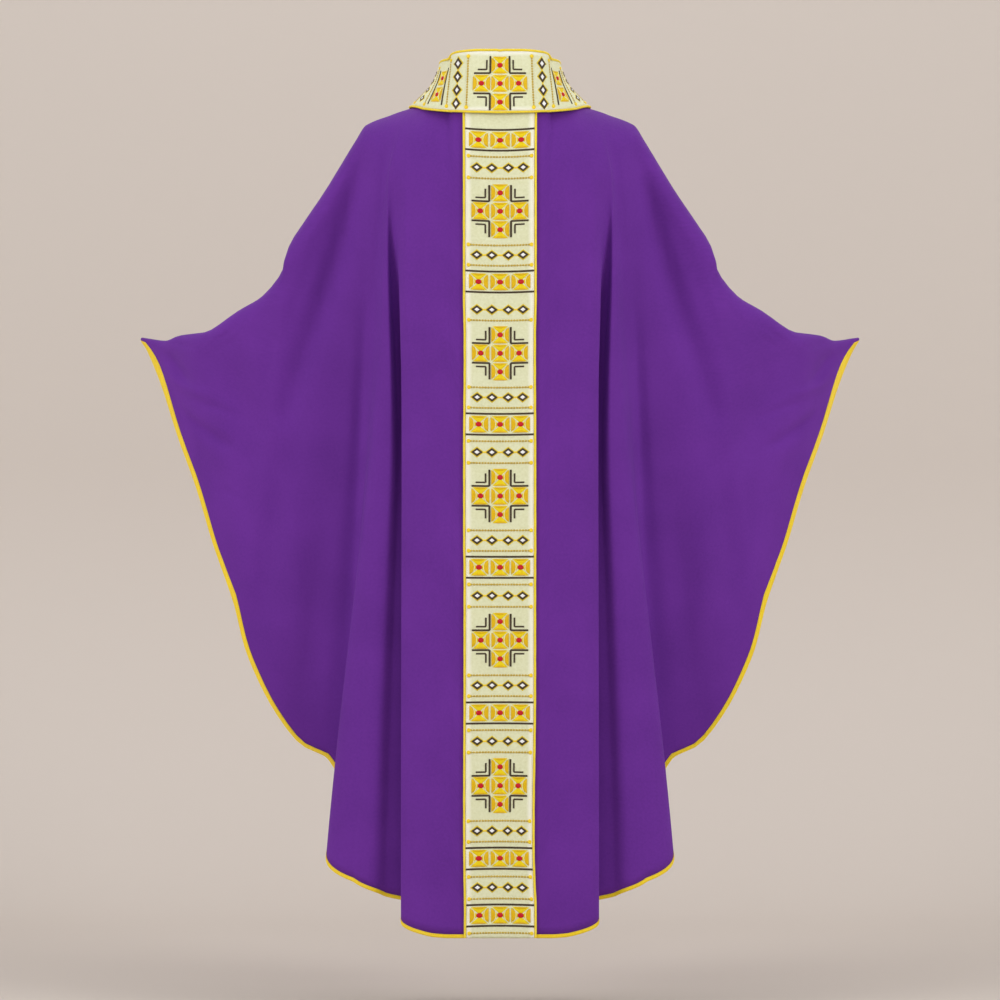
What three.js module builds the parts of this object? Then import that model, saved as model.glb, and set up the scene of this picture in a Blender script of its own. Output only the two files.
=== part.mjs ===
// A violet gothic chasuble with a high roll collar and one ornamental band down the back, kept as worn:
// hollow, with both arms raised a little from the sides and the forearms held forward.
// Millimetres, +Z up. The decorated back faces -Y and the wearer's front faces +Y.
// The origin is the middle of the neck opening, at the height where the garment rests on the shoulders.
import * as THREE from "three";

// Cloth and trim sizes
const CLOTH = 2; // the violet cloth
const SEAM = 0.3; // gap left between two pieces that are sewn together
const HEM_SEAM = 0.5; // the same between the cloth and its thicker binding, which turns sharp corners
const BINDING_WIDTH = 6; // gold bias binding round the hem, as folded
const BINDING_AT_WING = 17; // the same, at the steep edge of the wing's tip
const BINDING_THICK = 2.8;
const BAND_THICK = 1.6; // the embroidered ribbon of the back band and the collar
const BAND_LIFT = 0.7; // the ribbon passes over the hem binding, so it lies this far off the cloth
const BAND_EDGE_WIDTH = 3.6; // the narrow gold cord along both sides of the band
const BAND_EDGE_THICK = 2.4;
const COLLAR_TOP_CORD = 2; // radius of the gold piping along the collar's fold
const COLLAR_HEM_CORD = 1.8; // radius of the gold piping along the collar's free edge
const COLLAR_SPREAD = 1.3; // half the distance between the two collar layers at the fold

// Turns rows of numbers with named columns into functions of the first column, by monotone cubics.
function table(names, rows) {
  const at = rows.map((row) => row[0]);
  const curves = {};
  names.slice(1).forEach((name, k) => {
    const value = rows.map((row) => row[k + 1]);
    const rise = value.slice(1).map((v, i) => (v - value[i]) / (at[i + 1] - at[i]));
    const slope = value.map((_, i) => {
      if (i === 0) return rise[0];
      if (i === rise.length) return rise[i - 1];
      const product = rise[i - 1] * rise[i];
      return product <= 0 ? 0 : (2 * product) / (rise[i - 1] + rise[i]);
    });
    curves[name] = (t) => {
      let i = 0;
      while (i < rise.length - 1 && t > at[i + 1]) i += 1;
      const gap = at[i + 1] - at[i];
      const s = Math.min(1, Math.max(0, (t - at[i]) / gap));
      const a = value[i];
      const b = value[i + 1];
      const hermite = (2 * s - 3) * s * s;
      return (
        a * (1 + hermite) -
        b * hermite +
        gap * slope[i] * (s - 1) * (s - 1) * s +
        gap * slope[i + 1] * (s - 1) * s * s
      );
    };
  });
  return curves;
}

// The panels. Each row is one line of fall, from the neckline, shoulder or arm line down to the hem, on the
// half with x above 0. "reach" is how far the cloth stands out from the top line once it has rounded the
// shoulder or the arm, "drop" how far down that is, and "turn" the angle that the arm has swung forward.
const COLUMNS = ["at", "topX", "topY", "topZ", "reach", "drop", "turn", "hemX", "hemY", "hemZ"];
const NECK_SIDE = 5; // the line of fall at the side of the neck, where back and front panels meet
const BAND_HALF = 3; // the line of fall at the edge of the back band
const LAST = 38; // the line of fall at the wing's tip

// The arm line that both panels share, from the side of the neck to the wing's tip
const ARM = {
  neckSide: [80, 2, 5],
  collarEdge: [104, 2, -3],
  fold: [117, 2, -7],
  foldMiddle: [138, 3, -14],
  ridge: [152, 3, -18],
  ridgeEdge: [165, 4, -22],
  wingFold: [178, 4, -27],
  shoulder: [216, 5, -42],
  upperArm: [234, 6, -70],
  armSlope: [280, 9, -146],
  armLower: [312, 12, -194],
  elbowTop: [335, 14, -232],
  elbowAbove: [343, 16, -267],
  elbowBelow: [378, 23, -315],
  elbow: [418, 34, -339],
  elbowCrease: [477, 62, -374],
  forearm: [522, 112, -377],
  wristDip: [552, 140, -385],
  tip: [596, 185, -378],
};

const BACK = table(COLUMNS, [
  [0, 0, -80, 8, 46, 170, 0, 0, -196, -1335],
  [1.5, 28, -74.5, 8, 52, 171, 0, 27, -196, -1335],
  [3, 53.5, -58.5, 8, 68, 174, 0, 53.5, -196, -1335],
  [4, 71, -34, 7, 92, 179, 0, 67, -196, -1335],
  [5, ...ARM.neckSide, 126, 185, 0, 80, -196, -1335],
  [8, ...ARM.collarEdge, 121, 180, 0, 98, -196, -1334],
  [9.5, ...ARM.fold, 117, 170, 0, 108, -195, -1333],
  [13, ...ARM.foldMiddle, 111, 160, 0, 141, -174, -1302],
  [16.5, ...ARM.ridge, 106, 150, 0, 184, -154, -1274],
  [21, ...ARM.ridgeEdge, 98, 135, 0, 236, -142, -1249],
  [24, ...ARM.wingFold, 90, 115, 0, 262, -98, -1190],
  [27, ...ARM.shoulder, 76, 95, 0, 281, -45, -1065],
  [28, ...ARM.upperArm, 66, 78, 2, 322, -36, -1042],
  [29, ...ARM.armSlope, 57, 66, 4, 364, -32, -990],
  [30, ...ARM.armLower, 54, 60, 6, 394, -27, -935],
  [31, ...ARM.elbowTop, 51, 56, 8, 415, -22, -884],
  [32, ...ARM.elbowAbove, 49, 52, 10, 432, -14, -818],
  [33, ...ARM.elbowBelow, 46, 46, 15, 452, -4, -762],
  [34, ...ARM.elbow, 42, 42, 20, 468, 6, -718],
  [35, ...ARM.elbowCrease, 30, 34, 34, 497, 34, -628],
  [36, ...ARM.forearm, 22, 26, 42, 532, 80, -540],
  [37, ...ARM.wristDip, 13, 16, 45, 564, 130, -450],
  [LAST, ...ARM.tip, 7, 8, 45, 589, 180, -395],
]);

const FRONT = table(COLUMNS, [
  [0, 0, 92, -30, 38, 150, 0, 0, 176, -1318],
  [1.5, 28, 86.5, -28, 44, 154, 0, 27, 176, -1318],
  [3, 54, 68, -20, 62, 166, 0, 52, 176, -1318],
  [4, 71, 42, -9, 88, 180, 0, 65, 176, -1318],
  [5, ...ARM.neckSide, 128, 195, 0, 76, 176, -1318],
  [8, ...ARM.collarEdge, 124, 190, 0, 94, 176, -1316],
  [9.5, ...ARM.fold, 120, 180, 0, 104, 174, -1313],
  [13, ...ARM.foldMiddle, 114, 170, 0, 137, 155, -1283],
  [16.5, ...ARM.ridge, 110, 160, 0, 178, 138, -1255],
  [21, ...ARM.ridgeEdge, 100, 140, 0, 230, 128, -1229],
  [24, ...ARM.wingFold, 92, 120, 0, 256, 92, -1170],
  [27, ...ARM.shoulder, 78, 98, 0, 280, 52, -1048],
  [28, ...ARM.upperArm, 66, 80, 2, 320, 50, -1018],
  [29, ...ARM.armSlope, 57, 68, 4, 354, 54, -974],
  [30, ...ARM.armLower, 54, 62, 6, 384, 60, -919],
  [31, ...ARM.elbowTop, 51, 58, 8, 405, 66, -868],
  [32, ...ARM.elbowAbove, 49, 54, 10, 421, 72, -802],
  [33, ...ARM.elbowBelow, 46, 48, 15, 440, 82, -747],
  [34, ...ARM.elbow, 42, 44, 20, 455, 92, -704],
  [35, ...ARM.elbowCrease, 30, 36, 34, 483, 112, -616],
  [36, ...ARM.forearm, 22, 28, 42, 518, 142, -530],
  [37, ...ARM.wristDip, 13, 17, 45, 553, 165, -446],
  [LAST, ...ARM.tip, 7, 8, 45, 584, 192, -395],
]);

// The deep folds on each half: the cloth goes in by "deep", from startZ to fullZ, and then opens again by the
// share "ease" towards the hem. It doubles back behind its own edge by "over", from overZ to turnedZ, and above
// that it leans outwards, by "lean" at most. "flank" is how wide the valley's outer side is.
const FOLD_COLUMNS = [
  "middle", "half", "over", "deep", "lean", "flank", "startZ", "fullZ", "ease", "overZ", "turnedZ",
  "grow",
];
const EASE_LENGTH = 450; // a fold opens again over this much height
const GROW_LENGTH = 500; // below its doubling, the outer side goes further under over this much height
const foldRows = (rows) =>
  rows.map((row) => Object.fromEntries(FOLD_COLUMNS.map((name, i) => [name, row[i]])));
const BACK_FOLDS = foldRows([
  [13, 3.5, 34, 27, 29, 1.1, -95, -400, 0.28, -160, -640, 0.35],
  [24, 3.5, 31, 16, -9, 0.55, -150, -560, 0.1, -330, -1300, 0],
]);
const FRONT_FOLDS = foldRows([
  [13, 3.5, 28, 34, 18, 0.95, -150, -500, 0.35, -280, -520, 0.3],
  [24, 3.5, 29, 20, 8, 0.6, -190, -640, 0.1, -400, -1250, 0],
]);

const LEAN_SPREAD = 0.12; // below 1, a lean reaches further to the sides than the fold itself

// The widest soft troughs, as lines on the cloth seen square on, each with its half width and depth.
const TROUGH_COLUMNS = ["x0", "z0", "x1", "z1", "x2", "z2", "width", "deep"];
const troughRows = (rows) =>
  rows.map((row) => Object.fromEntries(TROUGH_COLUMNS.map((name, i) => [name, row[i]])));
const BACK_TROUGHS = troughRows([
  [224, -92, 240, -215, 346, -500, 24, 14],
  [480, -378, 430, -440, 400, -560, 30, 9],
]);
const FRONT_TROUGHS = troughRows([
  [222, -110, 250, -260, 318, -540, 28, 13],
  [470, -382, 424, -450, 392, -590, 30, 9],
]);

// Cloth rounds a shoulder flatter on top than a circle does, so its section is this superellipse.
const ROUNDNESS = 2.5;

const smooth = (t) => {
  const s = Math.min(1, Math.max(0, t));
  return s * s * (3 - 2 * s);
};

// A lean fades out sideways, and to nothing at the band.
const leanOf = (fold, line, q) =>
  fold.lean * Math.exp(-q * q * LEAN_SPREAD) * smooth((line - BAND_HALF) / 6);

const BACK_PANEL = { facing: -1, falls: BACK, folds: BACK_FOLDS, troughs: BACK_TROUGHS };
const FRONT_PANEL = { facing: 1, falls: FRONT, folds: FRONT_FOLDS, troughs: FRONT_TROUGHS };

// How far a trough sinks the cloth at (x, z): deepest on its line, and fading out at both ends.
const TROUGH_STEPS = 12;
const troughPoint = ({ x0, z0, x1, z1, x2, z2 }, t) => [
  (1 - t) * (1 - t) * x0 + 2 * t * (1 - t) * x1 + t * t * x2,
  (1 - t) * (1 - t) * z0 + 2 * t * (1 - t) * z1 + t * t * z2,
];
function troughDepth(trough, x, z) {
  let nearest = Infinity;
  let along = 0;
  let [fromX, fromZ] = troughPoint(trough, 0);
  for (let i = 1; i <= TROUGH_STEPS; i += 1) {
    const [toX, toZ] = troughPoint(trough, i / TROUGH_STEPS);
    const runX = toX - fromX;
    const runZ = toZ - fromZ;
    const onRun = ((x - fromX) * runX + (z - fromZ) * runZ) / (runX * runX + runZ * runZ);
    const share = Math.min(1, Math.max(0, onRun));
    const away = Math.hypot(x - fromX - share * runX, z - fromZ - share * runZ);
    if (away < nearest) {
      nearest = away;
      along = (i - 1 + share) / TROUGH_STEPS;
    }
    fromX = toX;
    fromZ = toZ;
  }
  const fade = Math.sin(Math.PI * (0.12 + 0.76 * along));
  return trough.deep * fade * Math.exp(-((nearest / trough.width) ** 2));
}

// A point of a panel's middle surface: line of fall "at" (below 0 on the other half), "down" mm below its top.
function panelPoint(panel, at, down) {
  const { facing, falls, folds, troughs } = panel;
  const line = Math.abs(at);
  const side = at < 0 ? -1 : 1;
  const topZ = falls.topZ(line);
  const length = topZ - falls.hemZ(line);
  const z = topZ - down;
  const share = down / length;
  const rounded = 1 - Math.min(1, down / falls.drop(line));
  const out = (1 - rounded ** ROUNDNESS) ** (1 / ROUNDNESS);
  const reach = falls.reach(line);
  const turn = THREE.MathUtils.degToRad(falls.turn(line));
  const awayX = -facing * Math.sin(turn);
  const awayY = facing * Math.cos(turn);
  const topX = falls.topX(line);
  const topY = falls.topY(line);
  let x = topX + awayX * reach * out + (falls.hemX(line) - topX - awayX * reach) * share;
  let y = topY + awayY * reach * out + (falls.hemY(line) - topY - awayY * reach) * share;
  for (const fold of folds) {
    const eased = 1 - fold.ease * smooth((fold.fullZ - z) / EASE_LENGTH);
    const sunk = eased * smooth((z - fold.startZ) / (fold.fullZ - fold.startZ));
    const doubled = smooth((z - fold.overZ) / (fold.turnedZ - fold.overZ));
    const q = (line - fold.middle) / fold.half;
    const grown = q > 0 ? 1 + fold.grow * smooth((fold.turnedZ - z) / GROW_LENGTH) : 1;
    if (Math.abs(q) < 1) x -= doubled * grown * fold.over * Math.sin(Math.PI * q) * (1 - q * q);
    x += leanOf(fold, line, q) * (1 - doubled) * smooth(down / 120);
    const valley = smooth((q + 0.75) / 1.15) * (1 - smooth((q - 0.45) / fold.flank));
    y -= facing * sunk * fold.deep * valley;
  }
  for (const trough of troughs) y -= facing * troughDepth(trough, x, z) * smooth(down / 60);
  return new THREE.Vector3(side * x, y, z);
}

// The outward normal of a panel at a point, from its neighbours on the surface.
function panelNormal(panel, at, down) {
  const step = 0.04;
  const lift = 0.8;
  const across = panelPoint(panel, at + step, down).sub(panelPoint(panel, at - step, down));
  const upper = Math.max(0, down - lift);
  const along = panelPoint(panel, at, down + lift).sub(panelPoint(panel, at, upper));
  return new THREE.Vector3().crossVectors(along, across).multiplyScalar(-panel.facing).normalize();
}

const fallLength = (panel, at) => {
  const line = Math.abs(at);
  return panel.falls.topZ(line) - panel.falls.hemZ(line);
};

// A width measured square to the hem takes more of the line of fall where the hem is steep.
function squareToHem(panel, at, width) {
  const step = 0.05;
  const line = Math.min(Math.abs(at), LAST - step);
  const a = panelPoint(panel, line - step, fallLength(panel, line - step));
  const b = panelPoint(panel, line + step, fallLength(panel, line + step));
  const run = b.sub(a);
  const level = Math.hypot(run.x, run.y) / run.length();
  return width / Math.max(level, 0.3);
}

// The binding is drawn wider where it goes round the wing's edge.
const bindingWidth = (at) =>
  BINDING_WIDTH + (BINDING_AT_WING - BINDING_WIDTH) * smooth((Math.abs(at) - 33.2) / 4);

const bindingDrop = (panel, at) =>
  Math.min(squareToHem(panel, at, bindingWidth(at)), 0.8 * fallLength(panel, at));

const clothEnd = (panel, at) =>
  fallLength(panel, at) - bindingDrop(panel, at) - squareToHem(panel, at, HEM_SEAM);

// A closed wall round a grid of middle points and outward normals. "ring" joins the last column to the first.
function wall(points, normals, thickness, ring = false) {
  const columns = points.length;
  const rows = points[0].length;
  const positions = [];
  for (const sign of [0.5, -0.5])
    for (let i = 0; i < columns; i += 1)
      for (let j = 0; j < rows; j += 1) {
        const p = points[i][j].clone().addScaledVector(normals[i][j], sign * thickness);
        positions.push(p.x, p.y, p.z);
      }
  const outer = (i, j) => (i % columns) * rows + j;
  const inner = (i, j) => columns * rows + outer(i, j);
  const index = [];
  const quad = (a, b, c, d) => index.push(a, b, c, a, c, d);
  const spans = ring ? columns : columns - 1;
  for (let i = 0; i < spans; i += 1) {
    for (let j = 0; j < rows - 1; j += 1) {
      quad(outer(i, j), outer(i, j + 1), outer(i + 1, j + 1), outer(i + 1, j));
      quad(inner(i, j), inner(i + 1, j), inner(i + 1, j + 1), inner(i, j + 1));
    }
    quad(outer(i, 0), outer(i + 1, 0), inner(i + 1, 0), inner(i, 0));
    quad(outer(i, rows - 1), inner(i, rows - 1), inner(i + 1, rows - 1), outer(i + 1, rows - 1));
  }
  if (!ring)
    for (let j = 0; j < rows - 1; j += 1) {
      quad(outer(0, j), inner(0, j), inner(0, j + 1), outer(0, j + 1));
      quad(inner(spans, j), outer(spans, j), outer(spans, j + 1), inner(spans, j + 1));
    }
  return facingOut(positions, index);
}

// Builds the geometry and turns its faces round if they point inwards.
function facingOut(positions, index) {
  const at = (k) => new THREE.Vector3(...positions.slice(3 * k, 3 * k + 3));
  let volume = 0;
  for (let k = 0; k < index.length; k += 3)
    volume += at(index[k]).dot(at(index[k + 1]).cross(at(index[k + 2])));
  if (volume < 0)
    for (let k = 0; k < index.length; k += 3)
      [index[k + 1], index[k + 2]] = [index[k + 2], index[k + 1]];
  const geometry = new THREE.BufferGeometry();
  geometry.setAttribute("position", new THREE.Float32BufferAttribute(positions, 3));
  geometry.setIndex(index);
  geometry.computeVertexNormals();
  return geometry;
}

// A round piping along a closed ring of points.
const CORD_SIDES = 6;
function cordRing(centres, radius) {
  const positions = [];
  const count = centres.length;
  centres.forEach((centre, i) => {
    const ahead = centres[(i + 1) % count].clone().sub(centres[(i + count - 1) % count]).normalize();
    const sideways = new THREE.Vector3().crossVectors(ahead, new THREE.Vector3(0, 0, 1)).normalize();
    const upward = new THREE.Vector3().crossVectors(sideways, ahead).normalize();
    for (let k = 0; k < CORD_SIDES; k += 1) {
      const angle = (2 * Math.PI * (k + 0.5)) / CORD_SIDES;
      const p = centre
        .clone()
        .addScaledVector(sideways, radius * Math.cos(angle))
        .addScaledVector(upward, radius * Math.sin(angle));
      positions.push(p.x, p.y, p.z);
    }
  });
  const index = [];
  for (let i = 0; i < count; i += 1)
    for (let k = 0; k < CORD_SIDES; k += 1) {
      const next = ((i + 1) % count) * CORD_SIDES;
      const a = i * CORD_SIDES + k;
      const b = i * CORD_SIDES + ((k + 1) % CORD_SIDES);
      const c = next + ((k + 1) % CORD_SIDES);
      const d = next + k;
      index.push(a, b, c, a, c, d);
    }
  return facingOut(positions, index);
}

// Columns of the panels, closest together where the cloth turns at the folds.
const COLUMN_SPANS = [
  [0, 3, 4],
  [3, NECK_SIDE, 4],
  [NECK_SIDE, 9.5, 3],
  [9.5, 16.5, 9],
  [16.5, 20.5, 3],
  [20.5, 27, 8],
  [27, 33, 6],
  [33, 35, 3],
  [35, LAST, 4],
];
const halfColumns = COLUMN_SPANS.flatMap(([from, to, count]) =>
  Array.from({ length: count }, (_, i) => from + ((to - from) * (i + 1)) / count),
);
const COLUMN_LINES = [...halfColumns.map((c) => -c).reverse(), 0, ...halfColumns];

// Rows down a line of fall: close together at the top of the shoulder or arm, then wider towards the hem.
const ROUND_ROWS = 4;
const ROUND_GROWTH = 2.2;
const FALL_ROWS = 9;
const FALL_GROWTH = 1.2;
function rowDrops(panel, at, end) {
  const drop = Math.min(panel.falls.drop(Math.abs(at)), 0.8 * end);
  const rows = [];
  for (let j = 0; j < ROUND_ROWS; j += 1) rows.push(drop * (j / ROUND_ROWS) ** ROUND_GROWTH);
  for (let j = 0; j <= FALL_ROWS; j += 1)
    rows.push(drop + (end - drop) * (j / FALL_ROWS) ** FALL_GROWTH);
  return rows;
}

// Panels meet along the shoulder and arm line, half a seam each side of it.
function panelGrid(panel, columns, dropsOf) {
  const points = [];
  const normals = [];
  for (const at of columns) {
    const drops = dropsOf(at);
    points.push(drops.map((down) => panelPoint(panel, at, down)));
    normals.push(drops.map((down) => panelNormal(panel, at, down)));
  }
  return { points, normals };
}

function panelWall(panel) {
  const { points, normals } = panelGrid(panel, COLUMN_LINES, (at) =>
    rowDrops(panel, at, clothEnd(panel, at)),
  );
  points.forEach((line, i) => {
    line[0].y += (panel.facing * SEAM) / 2;
    const level = new THREE.Vector3(normals[i][0].x, 0, normals[i][0].z);
    if (Math.abs(COLUMN_LINES[i]) >= NECK_SIDE) normals[i][0].copy(level.normalize());
  });
  return wall(points, normals, CLOTH);
}

function hemBinding(panel) {
  const { points, normals } = panelGrid(panel, COLUMN_LINES, (at) => {
    const length = fallLength(panel, at);
    return [length - bindingDrop(panel, at), length];
  });
  return wall(points, normals, BINDING_THICK);
}

// The band lies on the back panel, on its own rows, from under the collar to the very bottom of the hem.
const BAND_START = 26;
const BAND_COLUMNS = COLUMN_LINES.filter((at) => Math.abs(at) <= BAND_HALF);
function bandDrops(at) {
  const rows = rowDrops(BACK_PANEL, at, clothEnd(BACK_PANEL, at));
  const under = rows.filter((down) => down > BAND_START + 6);
  return [BAND_START, ...under, fallLength(BACK_PANEL, at)];
}

function movedOut(grid, distance) {
  grid.points.forEach((line, i) =>
    line.forEach((p, j) => p.addScaledVector(grid.normals[i][j], distance)),
  );
  return grid;
}

const bandGrid = () =>
  movedOut(
    panelGrid(BACK_PANEL, BAND_COLUMNS, bandDrops),
    CLOTH / 2 + BAND_LIFT + BAND_THICK / 2,
  );

function band() {
  const { points, normals } = bandGrid();
  return wall(points, normals, BAND_THICK);
}

function bandEdge(side) {
  const { points, normals } = bandGrid();
  const edge = side < 0 ? 0 : points.length - 1;
  const inside = side < 0 ? 1 : points.length - 2;
  const strips = [SEAM, SEAM + BAND_EDGE_WIDTH].map((distance) =>
    points[edge].map((p, j) => {
      const outward = p.clone().sub(points[inside][j]).normalize();
      const raised = (BAND_EDGE_THICK - BAND_THICK) / 2;
      return p.clone().addScaledVector(outward, distance).addScaledVector(normals[edge][j], raised);
    }),
  );
  const direction = [normals[edge], normals[edge]];
  return side < 0
    ? wall([strips[1], strips[0]], direction, BAND_EDGE_THICK)
    : wall(strips, direction, BAND_EDGE_THICK);
}

// The collar: an inner layer stands up from the neckline, folds over at the top and falls outside.
// Its rings have a point for each column of the panels round the neckline, and one between each two.
// Angle 0 is the middle of the back and a quarter turn is the side with x above 0.
const COLLAR_TOP = table(["angle", "x", "y", "z"], [
  [0, 0, -92, 70],
  [20, 34, -91, 70],
  [38, 67, -82, 68],
  [47, 76.5, -69.2, 66],
  [55, 83, -53.2, 59.8],
  [75, 93.4, -20.8, 60.4],
  [90, 97, 2, 58],
  [120, 95, 50, 42],
  [150, 60, 88, 17],
  [180, 0, 102, 4],
]);
const COLLAR_HEM = table(["angle", "x", "y", "z"], [
  [0, 0, -123.5, -33.6],
  [20, 43, -120.5, -32.4],
  [38, 85, -103, -28.4],
  [60, 124, -62, -20.5],
  [90, 146, 0, -12],
  [105, 140, 33, -15],
  [120, 124, 62, -27],
  [150, 76, 105, -54],
  [180, 0, 122, -74],
]);
// The layers bow inwards where this is below 0, and the sides flare out towards the shoulders.
const COLLAR_BOW = table(["angle", "bow"], [
  [0, -2],
  [40, -5],
  [70, -9],
  [110, -10],
  [150, -4],
  [180, 0],
]);

const neckLines = COLUMN_LINES.filter((at) => Math.abs(at) <= NECK_SIDE);
const neckCorners = [
  ...neckLines.map((at) => panelPoint(BACK_PANEL, at, 0)),
  ...neckLines
    .slice(1, -1)
    .reverse()
    .map((at) => panelPoint(FRONT_PANEL, at, 0)),
];
const neckRing = neckCorners.flatMap((corner, i) => {
  const next = neckCorners[(i + 1) % neckCorners.length];
  return [corner, corner.clone().lerp(next, 0.5)];
});
const ringAngles = neckRing.map((p) => THREE.MathUtils.radToDeg(Math.atan2(p.x, 2 - p.y)));

function ringPoint(ring, degrees) {
  const angle = Math.abs(degrees);
  return new THREE.Vector3(Math.sign(degrees) * ring.x(angle), ring.y(angle), ring.z(angle));
}

// The panel under a place in plan near the neck: the line of fall there and how far down it.
function yokeAt(x, y) {
  const panel = y < 2 ? BACK_PANEL : FRONT_PANEL;
  const { falls, facing } = panel;
  let low = 0;
  let high = 16;
  for (let i = 0; i < 30; i += 1) {
    const middle = (low + high) / 2;
    if (falls.topX(middle) < Math.abs(x)) low = middle;
    else high = middle;
  }
  const out = Math.min(0.98, Math.max(0, (facing * (y - falls.topY(low))) / falls.reach(low)));
  const down = falls.drop(low) * (1 - (1 - out ** ROUNDNESS) ** (1 / ROUNDNESS));
  return { panel, at: x < 0 ? -low : low, down };
}

// The free edge of the collar hangs at its own height, but never closer to the panel than its clearance.
function collarHemCentre(degrees) {
  const centre = ringPoint(COLLAR_HEM, degrees);
  const { panel, at, down } = yokeAt(centre.x, centre.y);
  const onBand = panel === BACK_PANEL ? 1 - smooth((Math.abs(centre.x) - 70) / 24) : 0;
  const clear = CLOTH / 2 + COLLAR_HEM_CORD + 0.9 + onBand * (BAND_LIFT + BAND_THICK + 0.6);
  const normal = panelNormal(panel, at, down);
  const gap = centre.clone().sub(panelPoint(panel, at, down)).dot(normal);
  return centre.addScaledVector(normal, Math.max(0, clear - gap));
}

const outwardAt = (ring, i) => {
  const ahead = ring[(i + 1) % ring.length].clone().sub(ring[(i + ring.length - 1) % ring.length]);
  return new THREE.Vector3(ahead.y, -ahead.x, 0).normalize();
};

const topRing = ringAngles.map((degrees) => ringPoint(COLLAR_TOP, degrees));
const hemRing = ringAngles.map(collarHemCentre);

// A collar layer is a ring wall between an upper and a lower ring.
function collarLayer(upper, lower, rows, bowShare) {
  const points = upper.map((top, i) => {
    const outward = outwardAt(upper, i);
    const bow = bowShare * COLLAR_BOW.bow(Math.abs(ringAngles[i]));
    return Array.from({ length: rows + 1 }, (_, j) => {
      const share = j / rows;
      const p = top.clone().lerp(lower[i], share);
      return p.addScaledVector(outward, bow * Math.sin(Math.PI * share));
    });
  });
  const normals = points.map((line, i) =>
    line.map((_, j) => {
      const next = points[(i + 1) % points.length][j];
      const last = points[(i + points.length - 1) % points.length][j];
      const above = line[Math.max(0, j - 1)];
      const below = line[Math.min(rows, j + 1)];
      const across = next.clone().sub(last);
      return new THREE.Vector3().crossVectors(across, above.clone().sub(below)).normalize();
    }),
  );
  return wall(points, normals, BAND_THICK, true);
}

function collarFall() {
  const upper = topRing.map((centre, i) =>
    centre
      .clone()
      .addScaledVector(outwardAt(topRing, i), COLLAR_SPREAD)
      .add(new THREE.Vector3(0, 0, -COLLAR_TOP_CORD - SEAM)),
  );
  const lower = hemRing.map((centre, i) => {
    const up = upper[i].clone().sub(centre).normalize();
    return centre.clone().addScaledVector(up, COLLAR_HEM_CORD + SEAM);
  });
  return collarLayer(upper, lower, 4, 1);
}

function collarStand() {
  const upper = topRing.map((centre, i) =>
    centre
      .clone()
      .addScaledVector(outwardAt(topRing, i), -COLLAR_SPREAD)
      .add(new THREE.Vector3(0, 0, -COLLAR_TOP_CORD - SEAM)),
  );
  const lower = neckRing.map((point) =>
    point.clone().add(new THREE.Vector3(0, 0, CLOTH / 2 + SEAM + 0.8)),
  );
  return collarLayer(upper, lower, 3, 0.3);
}

// Materials
const violetCloth = new THREE.MeshStandardMaterial({ color: "#6a2f90", roughness: 0.85, metalness: 0 });
const ribbon = new THREE.MeshStandardMaterial({ color: "#efe9bd", roughness: 0.75, metalness: 0 });
const goldTrim = new THREE.MeshStandardMaterial({ color: "#f0bf10", roughness: 0.5, metalness: 0 });

const garment = new THREE.Group();
function addPiece(name, geometry, material) {
  const piece = new THREE.Mesh(geometry, material);
  piece.name = name;
  garment.add(piece);
}

addPiece("back_panel", panelWall(BACK_PANEL), violetCloth);
addPiece("front_panel", panelWall(FRONT_PANEL), violetCloth);
addPiece("back_hem_binding", hemBinding(BACK_PANEL), goldTrim);
addPiece("front_hem_binding", hemBinding(FRONT_PANEL), goldTrim);
addPiece("back_band", band(), ribbon);
addPiece("back_band_edge_left", bandEdge(-1), goldTrim);
addPiece("back_band_edge_right", bandEdge(1), goldTrim);
addPiece("collar_fall", collarFall(), ribbon);
addPiece("collar_stand", collarStand(), ribbon);
addPiece("collar_top_piping", cordRing(topRing, COLLAR_TOP_CORD), goldTrim);
addPiece("collar_hem_piping", cordRing(hemRing, COLLAR_HEM_CORD), goldTrim);

export default garment;
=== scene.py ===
# %% [markdown]
# # A violet gothic chasuble, worn and seen from the back
# The real garment is two panels of light wool-like cloth, a woven ornamental ribbon down the back, a high
# roll collar in the same ribbon, and gold binding, cords and pipings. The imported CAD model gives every
# place and size. This script lays fine cloth, thread and finish on that frame, and works in millimetres
# until a mesh is made.

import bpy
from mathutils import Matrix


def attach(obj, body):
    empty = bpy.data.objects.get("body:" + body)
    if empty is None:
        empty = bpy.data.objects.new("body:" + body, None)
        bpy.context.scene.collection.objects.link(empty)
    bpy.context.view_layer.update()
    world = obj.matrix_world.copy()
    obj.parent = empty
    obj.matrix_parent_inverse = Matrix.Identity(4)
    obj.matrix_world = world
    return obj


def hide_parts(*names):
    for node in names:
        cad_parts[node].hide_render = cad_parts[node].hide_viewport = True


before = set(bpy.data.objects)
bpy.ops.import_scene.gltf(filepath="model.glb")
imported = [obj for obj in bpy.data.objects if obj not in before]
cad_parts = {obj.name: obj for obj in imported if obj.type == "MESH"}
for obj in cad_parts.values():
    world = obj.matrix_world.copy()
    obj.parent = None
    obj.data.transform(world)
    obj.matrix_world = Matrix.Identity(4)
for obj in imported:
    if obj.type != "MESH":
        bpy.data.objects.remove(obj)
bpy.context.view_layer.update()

# %% [markdown]
# The camera comes early, so that each later step can be looked at from the photograph's place. It stands
# six metres behind the back, at the height of the garment's middle, with a long lens and no tilt or shift.

# %% Camera
import math
import bpy
import numpy as np
from mathutils import Vector

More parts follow.
